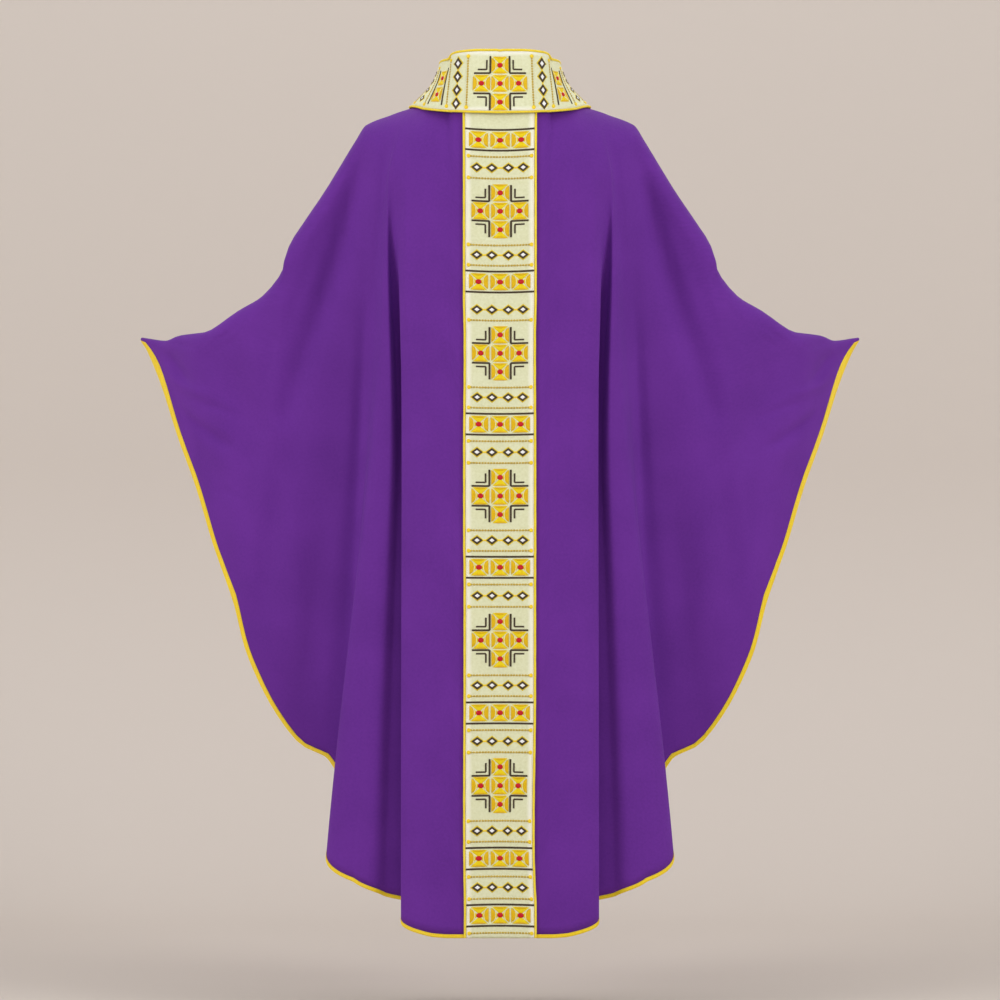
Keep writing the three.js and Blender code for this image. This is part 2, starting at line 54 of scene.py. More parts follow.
SENSOR, CAMERA_AWAY, FIELD_WIDE = 36, 6.0, 1.58
BACK_PLANE, MIDDLE_HEIGHT = -0.15, -0.648
camera_data = bpy.data.cameras.new("camera")
camera_data.sensor_width = SENSOR
camera_data.lens = SENSOR * CAMERA_AWAY / FIELD_WIDE
camera_data.clip_end = 60
camera = bpy.data.objects.new("camera", camera_data)
camera.location = (0, BACK_PLANE - CAMERA_AWAY, MIDDLE_HEIGHT)
camera.rotation_euler = (math.pi / 2, 0, 0)
bpy.context.scene.collection.objects.link(camera)
bpy.context.scene.camera = camera
print("lens in mm:", round(camera_data.lens, 1))

# %% [markdown]
# A patternmaker describes a draped panel by its lines of fall: where each line leaves the shoulder or the
# arm, how far it stands out from it, and where it meets the hem. A table of some twenty lines holds that,
# and a monotone cubic between its rows keeps the cloth smooth and never overshoots. Sculpting by hand would
# lose the measures.

# %% Measured curves
def table(names, rows):
    """Functions of the first column, by monotone cubics through the rows."""
    rows = np.array(rows, float)
    at, curves = rows[:, 0], {}
    gaps = np.diff(at)
    for name, value in zip(names[1:], rows.T[1:]):
        rise = np.diff(value) / gaps
        product, total = rise[:-1] * rise[1:], rise[:-1] + rise[1:]
        inner = np.where(product > 0, 2 * product / np.where(product > 0, total, 1), 0)
        slope = np.concatenate([rise[:1], inner, rise[-1:]])

        def curve(t, value=value, slope=slope):
            i = np.clip(np.searchsorted(at, t, side="right") - 1, 0, len(gaps) - 1)
            s = np.clip((t - at[i]) / gaps[i], 0, 1)
            hermite = (2 * s - 3) * s * s
            return (value[i] * (1 + hermite) - value[i + 1] * hermite
                    + gaps[i] * slope[i] * (s - 1) ** 2 * s + gaps[i] * slope[i + 1] * (s - 1) * s * s)

        curves[name] = curve
    return curves


def smooth(t):
    """A soft step: 0 below 0, 1 above 1, and level at both."""
    s = np.clip(t, 0, 1)
    return s * s * (3 - 2 * s)


print("a quarter of the way up a soft step:", smooth(0.25))

# %% Lines of fall
# Lines 0 to 4 leave the neckline, with the ribbon's edge at 3. The shoulder starts at 5, the wing's tip is 38.
NECK_SIDE, BAND_HALF, LAST = 5, 3, 38
# Line number, where it leaves the shoulder or arm, how far it stands out there and over what drop, how far it is
# turned from straight back, and where it meets the hem, all in mm and degrees
COLUMNS = ["at", "topX", "topY", "topZ", "reach", "drop", "turn", "hemX", "hemY", "hemZ"]
NECK_TO_TIP = [5, 8, 9.5, 13, 16.5, 21, 24, 27, 28, 29, 30, 31, 32, 33, 34, 35, 36, 37, 38]
ARM = [[80, 2, 5], [104, 2, -3], [117, 2, -7], [138, 3, -14], [152, 3, -18], [165, 4, -22], [178, 4, -27],
       [216, 5, -42], [234, 6, -70], [280, 9, -146], [312, 12, -194], [335, 14, -232], [343, 16, -267],
       [378, 23, -315], [418, 34, -339], [477, 62, -374], [522, 112, -377], [552, 140, -385], [596, 185, -378]]
BACK_NECK = [[0, 0, -80, 8, 46, 170, 0, 0, -196, -1335], [1.5, 28, -74.5, 8, 52, 171, 0, 27, -196, -1335],
             [3, 53.5, -58.5, 8, 68, 174, 0, 53.5, -196, -1335], [4, 71, -34, 7, 92, 179, 0, 67, -196, -1335]]
FRONT_NECK = [[0, 0, 92, -30, 38, 150, 0, 0, 176, -1318], [1.5, 28, 86.5, -28, 44, 154, 0, 27, 176, -1318],
              [3, 54, 68, -20, 62, 166, 0, 52, 176, -1318], [4, 71, 42, -9, 88, 180, 0, 65, 176, -1318]]
BACK_REST = [[126, 185, 0, 80, -196, -1335], [121, 180, 0, 98, -196, -1334], [117, 170, 0, 108, -195, -1333],
             [111, 160, 0, 141, -174, -1302], [106, 150, 0, 184, -154, -1274], [98, 135, 0, 236, -142, -1249],
             [90, 115, 0, 262, -98, -1190], [76, 95, 0, 281, -45, -1065], [66, 78, 2, 322, -36, -1042],
             [57, 66, 4, 364, -32, -990], [54, 60, 6, 394, -27, -935], [51, 56, 8, 415, -22, -884],
             [49, 52, 10, 432, -14, -818], [46, 46, 15, 452, -4, -762], [42, 42, 20, 468, 6, -718],
             [30, 34, 34, 497, 34, -628], [22, 26, 42, 532, 80, -540], [13, 16, 45, 564, 130, -450],
             [7, 8, 45, 589, 180, -395]]
FRONT_REST = [[128, 195, 0, 76, 176, -1318], [124, 190, 0, 94, 176, -1316], [120, 180, 0, 104, 174, -1313],
              [114, 170, 0, 137, 155, -1283], [110, 160, 0, 178, 138, -1255], [100, 140, 0, 230, 128, -1229],
              [92, 120, 0, 256, 92, -1170], [78, 98, 0, 280, 52, -1048], [66, 80, 2, 320, 50, -1018],
              [57, 68, 4, 354, 54, -974], [54, 62, 6, 384, 60, -919], [51, 58, 8, 405, 66, -868],
              [49, 54, 10, 421, 72, -802], [46, 48, 15, 440, 82, -747], [42, 44, 20, 455, 92, -704],
              [30, 36, 34, 483, 112, -616], [22, 28, 42, 518, 142, -530], [13, 17, 45, 553, 165, -446],
              [7, 8, 45, 584, 192, -395]]


def falls(neck, rest):
    return table(COLUMNS, neck + [[at, *arm, *row] for at, arm, row in zip(NECK_TO_TIP, ARM, rest)])


print("lines of fall given for half a panel:", len(BACK_NECK) + len(BACK_REST))

# %% [markdown]
# Each half of a panel has two deep folds, where the cloth doubles back behind its own edge, and one wide
# soft trough below the shoulder and one at the elbow. They are the CAD form. The finer creases, which come
# next, are listed one by one: short ones near the wing's tip, where the forearm pushes the cloth up, and faint
# long ones from the shoulder. Each is a line with its own width and depth, and a depth below 0 is a ridge.

# %% Folds, troughs and creases
# A deep fold: its middle line and half width in lines, how far it doubles back, its depth, lean and outer
# flank, the heights where it starts and is full, how much it opens again towards the hem, the heights where it
# begins to double back and has done so, and how much further its outer side goes under below that
BACK_FOLDS = [(13, 3.5, 34, 27, 29, 1.1, -95, -400, 0.28, -160, -640, 0.35),
              (24, 3.5, 31, 16, -9, 0.55, -150, -560, 0.1, -330, -1300, 0)]
FRONT_FOLDS = [(13, 3.5, 28, 34, 18, 0.95, -150, -500, 0.35, -280, -520, 0.3),
               (24, 3.5, 29, 20, 8, 0.6, -190, -640, 0.1, -400, -1250, 0)]
EASE_LENGTH, GROW_LENGTH, LEAN_SPREAD = 450, 500, 0.12
# A trough or crease: x and z of its start, bend and end, then its half width and depth
BACK_TROUGHS = [(224, -92, 240, -215, 346, -500, 24, 14), (480, -378, 430, -440, 400, -560, 30, 9)]
FRONT_TROUGHS = [(222, -110, 250, -260, 318, -540, 28, 13), (470, -382, 424, -450, 392, -590, 30, 9)]
BACK_CREASES = [
    (541, -386, 528, -386, 508, -398, 6, 6.5), (551, -402, 534, -427, 509, -462, 9, 6.0),
    (547, -440, 519, -466, 480, -474, 8, -5.0), (519, -511, 486, -533, 440, -559, 9, 7.0),
    (517, -486, 475, -486, 410, -521, 7, 2.2), (473, -630, 448, -628, 424, -642, 6, 1.8),
    (466, -371, 449, -381, 431, -397, 6, 3.6), (456, -393, 440, -418, 450, -460, 9, -3.0),
    (358, -268, 350, -286, 344, -316, 8, 4.2), (436, -340, 424, -352, 420, -376, 8, 3.8),
    (392, -322, 372, -372, 372, -440, 14, 2.6), (226, -90, 240, -222, 346, -520, 13, 5.0),
    (336, -480, 354, -640, 386, -830, 22, 5.5), (322, -214, 352, -330, 404, -470, 18, -3.6),
    (196, -84, 196, -190, 214, -330, 12, -2.6), (250, -116, 292, -240, 352, -392, 9, 2.0),
    (118, -70, 100, -140, 96, -230, 10, 1.8), (352, -480, 346, -680, 318, -900, 16, -2.8),
    (440, -600, 428, -700, 404, -800, 18, -2.4), (284, -640, 300, -800, 306, -950, 18, 2.4),
    (84, -640, 92, -880, 88, -1180, 16, 1.6), (196, -700, 204, -900, 200, -1150, 14, -2.0),
    (150, -130, 148, -260, 160, -420, 9, -1.6), (500, -560, 470, -600, 440, -620, 12, 1.6),
    (300, -300, 306, -420, 296, -560, 12, -2.0)]
FRONT_CREASES = [
    (540, -388, 520, -394, 500, -408, 8, 3.0), (552, -410, 528, -432, 504, -462, 9, 2.8),
    (540, -446, 520, -462, 492, -474, 7, -2.4), (462, -382, 452, -430, 436, -476, 12, -3.2),
    (520, -512, 480, -540, 432, -574, 11, 3.2), (352, -270, 344, -292, 336, -330, 9, 3.4),
    (430, -342, 414, -360, 408, -392, 9, 3.0), (386, -326, 362, -384, 360, -460, 14, 2.8),
    (316, -216, 344, -340, 388, -490, 20, -3.2), (190, -90, 190, -200, 206, -350, 12, -2.2),
    (244, -120, 282, -250, 338, -410, 9, 2.4), (392, -580, 380, -720, 360, -870, 24, 3.0),
    (340, -500, 334, -700, 306, -910, 22, -2.6), (276, -660, 290, -820, 296, -960, 18, 2.2),
    (30, -120, 44, -330, 40, -620, 18, 2.4), (80, -660, 88, -900, 84, -1180, 16, -1.8),
    (190, -720, 196, -920, 192, -1140, 14, 2.0), (0, -200, 6, -420, 0, -760, 22, -2.0)]
back = {"facing": -1, "folds": BACK_FOLDS, "troughs": BACK_TROUGHS, "creases": BACK_CREASES,
        **falls(BACK_NECK, BACK_REST)}
front = {"facing": 1, "folds": FRONT_FOLDS, "troughs": FRONT_TROUGHS, "creases": FRONT_CREASES,
         **falls(FRONT_NECK, FRONT_REST)}
print("creases pressed into half the back and half the front:", len(BACK_CREASES), len(FRONT_CREASES))


# %% How deep these lines sink the cloth
def sunk_by(lines, x, z, steps=12):
    """How deep these bent lines sink the cloth at x, z: most on a line, and less towards both its ends."""
    depth, t = np.zeros_like(x), np.linspace(0, 1, steps + 1)
    for x0, z0, x1, z1, x2, z2, width, deep in lines:
        px = (1 - t) ** 2 * x0 + 2 * t * (1 - t) * x1 + t * t * x2
        pz = (1 - t) ** 2 * z0 + 2 * t * (1 - t) * z1 + t * t * z2
        nearest, along = np.full_like(x, 1e9), np.zeros_like(x)
        for i, (run_x, run_z) in enumerate(zip(np.diff(px), np.diff(pz))):
            from_x, from_z = x - px[i], z - pz[i]
            share = np.clip((from_x * run_x + from_z * run_z) / (run_x ** 2 + run_z ** 2), 0, 1)
            away = np.hypot(from_x - share * run_x, from_z - share * run_z)
            along = np.where(away < nearest, (i + share) / steps, along)
            nearest = np.minimum(nearest, away)
        depth += deep * np.sin(math.pi * (0.12 + 0.76 * along)) * np.exp(-((nearest / width) ** 2))
    return depth


trough_middle = sunk_by(BACK_TROUGHS[:1], np.array([262.0]), np.array([-255.0]))
print("depth at the middle of the shoulder's trough, in mm:", trough_middle.round(1))

# %% [markdown]
# With those tables, any point of a panel is a formula of two numbers: the line of fall, and how far down
# it. From the shoulder the cloth rounds outwards, then falls straight to the hem, and the folds and troughs
# move it from there. A formula can be asked again anywhere, so the ribbon, the bindings and the stitches
# lie on the same cloth.

# %% A point of a panel
ROUNDNESS, SHOULDER_FADE, TROUGH_FADE = 2.5, 120, 60


def panel_point(panel, at, down):
    """The CAD form's middle surface in mm, at a line of fall (below 0 on the left) and down from its top."""
    at, down = np.broadcast_arrays(np.asarray(at, float), np.asarray(down, float))
    facing, line, side = panel["facing"], np.abs(at), np.where(at < 0, -1.0, 1.0)
    top_x, top_y, top_z = (panel[k](line) for k in ("topX", "topY", "topZ"))
    z, share = top_z - down, down / (top_z - panel["hemZ"](line))
    rounded = 1 - np.clip(down / panel["drop"](line), 0, 1)
    out = np.clip(1 - rounded ** ROUNDNESS, 0, 1) ** (1 / ROUNDNESS)
    turn, reach = np.radians(panel["turn"](line)), panel["reach"](line)
    away_x, away_y = -facing * np.sin(turn) * reach, facing * np.cos(turn) * reach
    x = top_x + away_x * out + (panel["hemX"](line) - top_x - away_x) * share
    y = top_y + away_y * out + (panel["hemY"](line) - top_y - away_y) * share
    for middle, half, over, deep, lean, flank, start, full, ease, over_z, turned_z, grow in panel["folds"]:
        sunk = (1 - ease * smooth((full - z) / EASE_LENGTH)) * smooth((z - start) / (full - start))
        doubled = smooth((z - over_z) / (turned_z - over_z))
        q = (line - middle) / half
        grown = np.where(q > 0, 1 + grow * smooth((turned_z - z) / GROW_LENGTH), 1)
        x = x - np.where(np.abs(q) < 1, doubled * grown * over * np.sin(math.pi * q) * (1 - q * q), 0)
        leaning = lean * np.exp(-q * q * LEAN_SPREAD) * smooth((line - BAND_HALF) / 6)
        x = x + leaning * (1 - doubled) * smooth(down / SHOULDER_FADE)
        valley = smooth((q + 0.75) / 1.15) * (1 - smooth((q - 0.45) / flank))
        y = y - facing * sunk * deep * valley
    y = y - facing * sunk_by(panel["troughs"], x, z) * smooth(down / TROUGH_FADE)
    return np.stack([side * x, y, z], -1)


print("middle of the back, 70 cm down the fall, in mm:", panel_point(back, 0.0, 700.0).round(1))


# %% Normals, lengths and the binding's width
def unit(v):
    return v / np.maximum(np.linalg.norm(v, axis=-1, keepdims=True), 1e-9)


def panel_normal(panel, at, down):
    across = panel_point(panel, at + 0.04, down) - panel_point(panel, at - 0.04, down)
    along = panel_point(panel, at, down + 0.8) - panel_point(panel, at, np.maximum(0, down - 0.8))
    return unit(-panel["facing"] * np.cross(along, across))


def fall_length(panel, at):
    return panel["topZ"](np.abs(at)) - panel["hemZ"](np.abs(at))


def square_to_hem(panel, at, width):
    """A width measured square to the hem takes more of the line of fall where the hem is steep."""
    line = np.minimum(np.abs(at), LAST - 0.05)
    run = (panel_point(panel, line + 0.05, fall_length(panel, line + 0.05))
           - panel_point(panel, line - 0.05, fall_length(panel, line - 0.05)))
    level = np.hypot(run[..., 0], run[..., 1]) / np.linalg.norm(run, axis=-1)
    return width / np.maximum(level, 0.3)


BINDING_WIDTH, BINDING_AT_WING, WING_FROM, WING_LINES = 6, 17, 33.2, 4


def binding_drop(panel, at):
    """How much of the line of fall the binding takes, which is wider at the wing's steep tip."""
    at_wing = smooth((np.abs(at) - WING_FROM) / WING_LINES)
    width = BINDING_WIDTH + (BINDING_AT_WING - BINDING_WIDTH) * at_wing
    return np.minimum(square_to_hem(panel, at, width), 0.8 * fall_length(panel, at))


print("length of the back's middle line, in mm:", round(float(fall_length(back, 0.0))))

# %% [markdown]
# Every surface here is a grid of points, so one small helper turns a grid into a mesh with a UV map in real
# metres. Weaves read that map, so that threads have their true size and follow the cloth through its folds.

# %% Grids to meshes
def distance(points, axis):
    """How far each point is along its own row or column, from the first one."""
    step = np.linalg.norm(np.diff(points, axis=axis), axis=-1)
    start = np.zeros_like(np.take(step, [0], axis))
    return np.concatenate([start, np.cumsum(step, axis)], axis)


def grid_piece(name, points, uv, material, flip=False, ring=False, tube=False):
    """A mesh of columns x rows points in mm. "ring" joins the last column to the first, "tube" the rows."""
    columns, rows = points.shape[:2]
    i, j = np.arange(columns if ring else columns - 1), np.arange(rows if tube else rows - 1)
    i, j = (g.ravel() for g in np.meshgrid(i, j, indexing="ij"))
    corners = [(i, j), (i, j + 1), (i + 1, j + 1), (i + 1, j)]
    quads = np.stack([(a % columns) * rows + b % rows for a, b in corners], -1)
    wide = np.concatenate([uv, 2 * uv[-1:] - uv[-2:-1]]) if ring else uv
    wide = np.concatenate([wide, 2 * wide[:, -1:] - wide[:, -2:-1]], 1) if tube else wide
    places = np.stack([a * wide.shape[1] + b for a, b in corners], -1)
    if flip:
        quads, places = quads[:, ::-1], places[:, ::-1]
    mesh = bpy.data.meshes.new(name)
    mesh.from_pydata((points.reshape(-1, 3) / 1000).tolist(), [], quads.tolist())
    layer = mesh.uv_layers.new(name="cloth")
    layer.data.foreach_set("uv", (wide.reshape(-1, 2)[places.ravel()] / 1000).astype(np.float32).ravel())
    mesh.polygons.foreach_set("use_smooth", [True] * len(mesh.polygons))
    piece = bpy.data.objects.new(name, mesh)
    bpy.context.scene.collection.objects.link(piece)
    piece.data.materials.append(material)
    return piece


def thicken(piece, millimetres):
    """Gives a sheet its real thickness, half to each side."""
    solid = piece.modifiers.new("cloth thickness", "SOLIDIFY")
    solid.thickness, solid.offset = millimetres / 1000, 0
    return piece


square = np.array([[[0, 0, 0], [0, 30, 0]], [[40, 0, 0], [40, 30, 0]]], float)
print("length across a test square of 40 by 30 mm:", distance(square, 0)[-1, 0])

# %% [markdown]
# Finishes share some effects: a plain weave, the cloudy unevenness of dyed yarn, and the lay of smooth
# threads. Each is a shader node group, built once. A group gives out only heights and masks, and the shader
# that uses them stays in its own material, with its constant values set on its own sockets.

# %% Small helpers for shader nodes
def new_group(name, inputs, outputs):
    group = bpy.data.node_groups.new(name, "ShaderNodeTree")
    for label, value in inputs.items():
        kind = "NodeSocketVector" if value is None else "NodeSocketFloat"
        socket = group.interface.new_socket(label, in_out="INPUT", socket_type=kind)
        if value is not None:
            socket.default_value = value
    for label in outputs:
        group.interface.new_socket(label, in_out="OUTPUT", socket_type="NodeSocketFloat")
    return group, group.nodes.new("NodeGroupInput").outputs, group.nodes.new("NodeGroupOutput").inputs


def place(tree, kind, inputs=None, **settings):
    """Adds a node, and gives its inputs a value or a link each."""
    made = tree.nodes.new(kind)
    for key, value in settings.items():
        setattr(made, key, value)
    for key, value in (inputs or {}).items():
        if isinstance(value, bpy.types.NodeSocket):
            tree.links.new(value, made.inputs[key])
        else:
            made.inputs[key].default_value = value
    return made


def sums(tree, operation, *values):
    made = place(tree, "ShaderNodeMath", dict(enumerate(values)), operation=operation)
    return made.outputs[0]


def rib(tree, turns):
    """The height of round threads side by side, one for each whole turn."""
    return sums(tree, "ABSOLUTE", sums(tree, "SINE", sums(tree, "MULTIPLY", turns, math.pi)))


print("node groups so far:", len(bpy.data.node_groups))

# %% Shared effects: weave, clouds and lying threads
weave, w_in, w_out = new_group(
    "plain weave", {"Place": None, "Thread": 0.0007, "Slub": 0.3}, ["Height", "Shade"])
parts = place(weave, "ShaderNodeSeparateXYZ", {0: w_in["Place"]}).outputs
slub = place(weave, "ShaderNodeTexNoise", {"Vector": w_in["Place"], "Scale": 170.0, "Detail": 2.0})
bent = sums(weave, "MULTIPLY", sums(weave, "SUBTRACT", slub.outputs[0], 0.5), w_in["Slub"])
weft, warp = [sums(weave, "ADD", sums(weave, "DIVIDE", parts[axis], w_in["Thread"]), bent) for axis in (0, 1)]
crossing = sums(weave, "ADD", sums(weave, "FLOOR", weft), sums(weave, "FLOOR", warp))
odd = sums(weave, "PINGPONG", crossing, 1.0)
over = place(weave, "ShaderNodeMix", {0: odd, 2: rib(weave, weft), 3: rib(weave, warp)})
raised = sums(weave, "MULTIPLY", over.outputs[0], 0.4)
weave.links.new(over.outputs[0], w_out["Height"])
# Painted shade: Shade is lighter on the crest of the thread on top and darker between threads, mixed with the
# slub.
weave.links.new(sums(weave, "MULTIPLY_ADD", slub.outputs[0], 0.6, raised), w_out["Shade"])

clouds, c_in, c_out = new_group(
    "dye clouds", {"Place": None, "Coarse": 9.0, "Fine": 260.0}, ["Cloud", "Speck"])
for scale, detail, out in (("Coarse", 3.0, "Cloud"), ("Fine", 2.0, "Speck")):
    noise = place(clouds, "ShaderNodeTexNoise",
                  {"Vector": c_in["Place"], "Scale": c_in[scale], "Detail": detail})
    clouds.links.new(noise.outputs[0], c_out[out])

lying, l_in, l_out = new_group("lying threads", {"Place": None, "Thread": 0.0005, "Slant": 0.0}, ["Height"])
parts = place(lying, "ShaderNodeSeparateXYZ", {0: l_in["Place"]}).outputs
slanted = sums(lying, "MULTIPLY_ADD", parts[1], l_in["Slant"], parts[0])
wander = place(lying, "ShaderNodeTexNoise", {"Vector": l_in["Place"], "Scale": 900.0})
wavy = sums(lying, "MULTIPLY", wander.outputs[0], 0.8)
turns = sums(lying, "ADD", sums(lying, "DIVIDE", slanted, l_in["Thread"]), wavy)
lying.links.new(rib(lying, turns), l_out["Height"])
print("shader groups:", [group.name for group in (weave, clouds, lying)])

# %% [markdown]
# One function makes each cloth and thread, because they differ only in colour, thread and gloss. Dyed cloth
# is never one colour, so it goes from a darker to a lighter tone with the clouds, the specks and the weave's
# slubs. The tone also follows the height of the threads, and that part is painted shade, darker in the hollows
# between threads. The same height lifts a small bump, which gives the thread its sheen without any geometry
# as fine as a thread.

# %% Colours and materials
def linear(red, green, blue):
    """A colour read as 0 to 255 on screen, as the renderer's own linear values."""
    share = [v / 255 for v in (red, green, blue)]
    return [v / 12.92 if v <= 0.04045 else ((v + 0.055) / 1.055) ** 2.4 for v in share] + [1.0]


print("the violet as linear values:", [round(v, 3) for v in linear(101, 42, 144)])


# %% One function for every cloth and thread
def cloth_material(name, dark, light, rough, sheen=0.0, sheen_tint=(255, 255, 255), specular=0.3,
                   weave_size=None, thread=None, slant=0.0, bump=0.3, contrast=0.5, coarse=9.0,
                   coordinates="UV", margin=None):
    """A woven or thread material, from its dark to its light colour. "margin" is a distance from the middle
    in metres, and the colour that the cloth takes beyond it."""
    material = bpy.data.materials.new(name)
    material.use_nodes = True
    tree = material.node_tree
    shader = tree.nodes["Principled BSDF"]
    fine, plain = weave_size or thread, 0.5 - contrast / 2
    where = place(tree, "ShaderNodeTexCoord").outputs[coordinates]
    cloudy = place(tree, "ShaderNodeGroup", node_tree=clouds)
    tree.links.new(where, cloudy.inputs["Place"])
    cloudy.inputs["Coarse"].default_value = coarse
    surface = place(tree, "ShaderNodeGroup", node_tree=weave if weave_size else lying)
    tree.links.new(where, surface.inputs["Place"])
    surface.inputs["Thread"].default_value = fine
    if not weave_size:
        surface.inputs["Slant"].default_value = slant
    height = surface.outputs["Height"]
    specks = sums(tree, "MULTIPLY", cloudy.outputs["Speck"], plain)
    tone = sums(tree, "MULTIPLY_ADD", cloudy.outputs["Cloud"], contrast, specks)
    # Painted shade: the tone follows the threads' height, darker in the hollows between them.
    shade = surface.outputs["Shade"] if weave_size else height
    tone = sums(tree, "MULTIPLY_ADD", shade, plain, tone)
    ramp = place(tree, "ShaderNodeMapRange", {0: tone, 1: 0.3, 2: 0.7})
    colour = place(tree, "ShaderNodeMix", {0: ramp.outputs[0], 6: linear(*dark), 7: linear(*light)},
                   data_type="RGBA")
    # Partly painted light: the whiter margin is the ribbon's paler edge, made lighter still to cancel the shade
    # that its gold cords and pipings cast there.
    if margin:
        sideways = sums(tree, "ABSOLUTE", place(tree, "ShaderNodeSeparateXYZ", {0: where}).outputs[0])
        outside = place(tree, "ShaderNodeMapRange", {0: sideways, 1: margin[0], 2: margin[0] + 0.006})
        blend = {0: outside.outputs[0], 6: colour.outputs[2], 7: linear(*margin[1])}
        colour = place(tree, "ShaderNodeMix", blend, data_type="RGBA")
    tree.links.new(colour.outputs[2], shader.inputs["Base Color"])
    bumpy = place(tree, "ShaderNodeBump", {"Height": height, "Strength": bump, "Distance": fine * 0.35})
    tree.links.new(bumpy.outputs[0], shader.inputs["Normal"])
    finish = {"Roughness": rough, "Specular IOR Level": specular, "Sheen Weight": sheen,
              "Sheen Roughness": 0.45, "Sheen Tint": linear(*sheen_tint)}
    for socket, value in finish.items():
        shader.inputs[socket].default_value = value
    return material


print("each finish puts", clouds.name, "over", weave.name, "or", lying.name)

# %% Cloth and cord finishes
violet = cloth_material("violet cloth", (94, 38, 135), (110, 47, 154), 0.82, sheen=0.12,
                        sheen_tint=(190, 150, 225), specular=0.18, weave_size=0.0009, bump=0.35,
                        contrast=0.45)
# The margin beyond 43 mm from the middle is partly the ribbon's paler edge and partly painted light over the
# cords' shade.
cream = cloth_material("cream ribbon", (219, 219, 169), (239, 240, 203), 0.62, sheen=0.05, specular=0.35,
                       weave_size=0.0011, bump=0.5, contrast=0.2, coarse=30.0,
                       margin=(0.043, (250, 248, 226)))
gold_cloth = cloth_material("gold bias cloth", (232, 187, 0), (253, 222, 12), 0.42, specular=0.5,
                            thread=0.0006, slant=1.0, bump=0.5, contrast=0.3, coarse=40.0)
gold_cord = cloth_material("gold cord", (240, 196, 12), (255, 232, 52), 0.36, specular=0.5, thread=0.0005,
                           slant=0.9, bump=0.6, contrast=0.2, coarse=60.0)
print("materials:", [m.name for m in (violet, cream, gold_cloth, gold_cord)])

# %% [markdown]
# The panels are cut from flat cloth and sewn together along the shoulders and arms, so each is one
# continuous thin shell. A cloth simulation would lose the measured outline, so the form is computed line by
# line, closest together where the cloth turns back in a fold, and Solidify gives it the thickness of a real
# light weave.

# %% Panels
# From one line of fall to another, and the steps between them: most where a fold turns back on itself
SPANS = [(0, 3, 20), (3, 5, 12), (5, 9.5, 18), (9.5, 16.5, 46), (16.5, 20.5, 10), (20.5, 27.5, 42),
         (27.5, 33, 16), (33, 35, 8), (35, 38, 12)]
half_lines = np.concatenate([np.linspace(a, b, n + 1)[1:] for a, b, n in SPANS])
LINES = np.concatenate([-half_lines[::-1], [0], half_lines])
CLOTH_THICK, TUCKED_IN, SEAM_GAP = 1.6, 1.5, 0.15


def row_drops(panel, at, end, round_rows=26, fall_rows=88):
    """Rows down each line of fall, close together on the shoulder and wider towards the hem."""
    drop = np.minimum(panel["drop"](np.abs(at)), 0.8 * end)[:, None]
    first = drop * (np.arange(round_rows) / round_rows) ** 1.8
    rest = drop + (end[:, None] - drop) * (np.arange(fall_rows + 1) / fall_rows) ** 1.1
    return np.concatenate([first, rest], 1)


def dressed(panel, at, down):
    """A point of the fine cloth: the CAD form with its creases pressed in."""
    point = panel_point(panel, at, down)
    fading = smooth(down / 40) * smooth((fall_length(panel, at) - down) / 60)
    deep = sunk_by(panel["creases"], np.abs(point[..., 0]), point[..., 2]) * fading
    return point - panel_normal(panel, at, down) * deep[..., None]


def panel_piece(name, panel):
    """One panel, down to just inside its binding, with its top row a hair off the other panel's."""
    end = fall_length(panel, LINES) - binding_drop(panel, LINES) + TUCKED_IN
    down = row_drops(panel, LINES, end)
    points = dressed(panel, LINES[:, None], down)
    points[:, 0, 1] += panel["facing"] * SEAM_GAP
    level = np.hypot(*np.moveaxis(np.diff(points, axis=0), -1, 0)[:2])
    u = np.concatenate([np.zeros((1, down.shape[1])), np.cumsum(level, 0)])
    u -= u[len(LINES) // 2]
    v = distance(points, 1) - panel["topZ"](np.abs(LINES))[:, None]
    piece = grid_piece(name, points, np.stack([u, v], -1), violet, flip=panel["facing"] > 0)
    return thicken(piece, CLOTH_THICK)


back_panel = panel_piece("back_panel_cloth", back)
front_panel = panel_piece("front_panel_cloth", front)
print("quads in a panel:", len(back_panel.data.polygons))

# %% [markdown]
# The hem is bound with a strip of gold cloth cut on the bias, folded round the raw edge, with its own edges
# turned in and sewn down. Its section is drawn once, as a closed U with rolled lips and a stitch groove,
# and carried along the hem. A plain flat band would miss the soft double edge that shows on the real one.

# %% Hem bindings
# Section: share of the width from the lip to the fold, and height off the cloth's middle, in mm
BINDING_SECTION = [(0, 0.9), (0.02, 1.3), (0.08, 1.42), (0.17, 1.36), (0.22, 1.16), (0.27, 1.36), (0.45, 1.42),
                   (0.7, 1.4), (0.88, 1.2), (0.97, 0.7), (1, 0), (0.97, -0.7), (0.88, -1.2), (0.7, -1.4),
                   (0.45, -1.42), (0.27, -1.36), (0.22, -1.16), (0.17, -1.36), (0.08, -1.42), (0.02, -1.3),
                   (0, -0.9), (0.3, -0.9), (0.62, -0.86), (0.7, 0), (0.62, 0.86), (0.3, 0.9)]


def binding_piece(name, panel):
    share, height = np.array(BINDING_SECTION).T
    length, drop = fall_length(panel, LINES)[:, None], binding_drop(panel, LINES)[:, None]
    down = length - drop * (1 - share[None, :])
    flat_down = length - drop * 0.5 + 0 * down
    points = panel_point(panel, LINES[:, None], down)
    points = points + panel_normal(panel, LINES[:, None], flat_down) * height[None, :, None]
    along = distance(points[:, 10:11], 0) + 0 * down
    around = np.concatenate([[0], np.cumsum(np.hypot(np.diff(share * BINDING_WIDTH), np.diff(height)))])
    uv = np.stack([along, around[None, :] + 0 * down], -1)
    return grid_piece(name, points, uv, gold_cloth, flip=panel["facing"] < 0, tube=True)


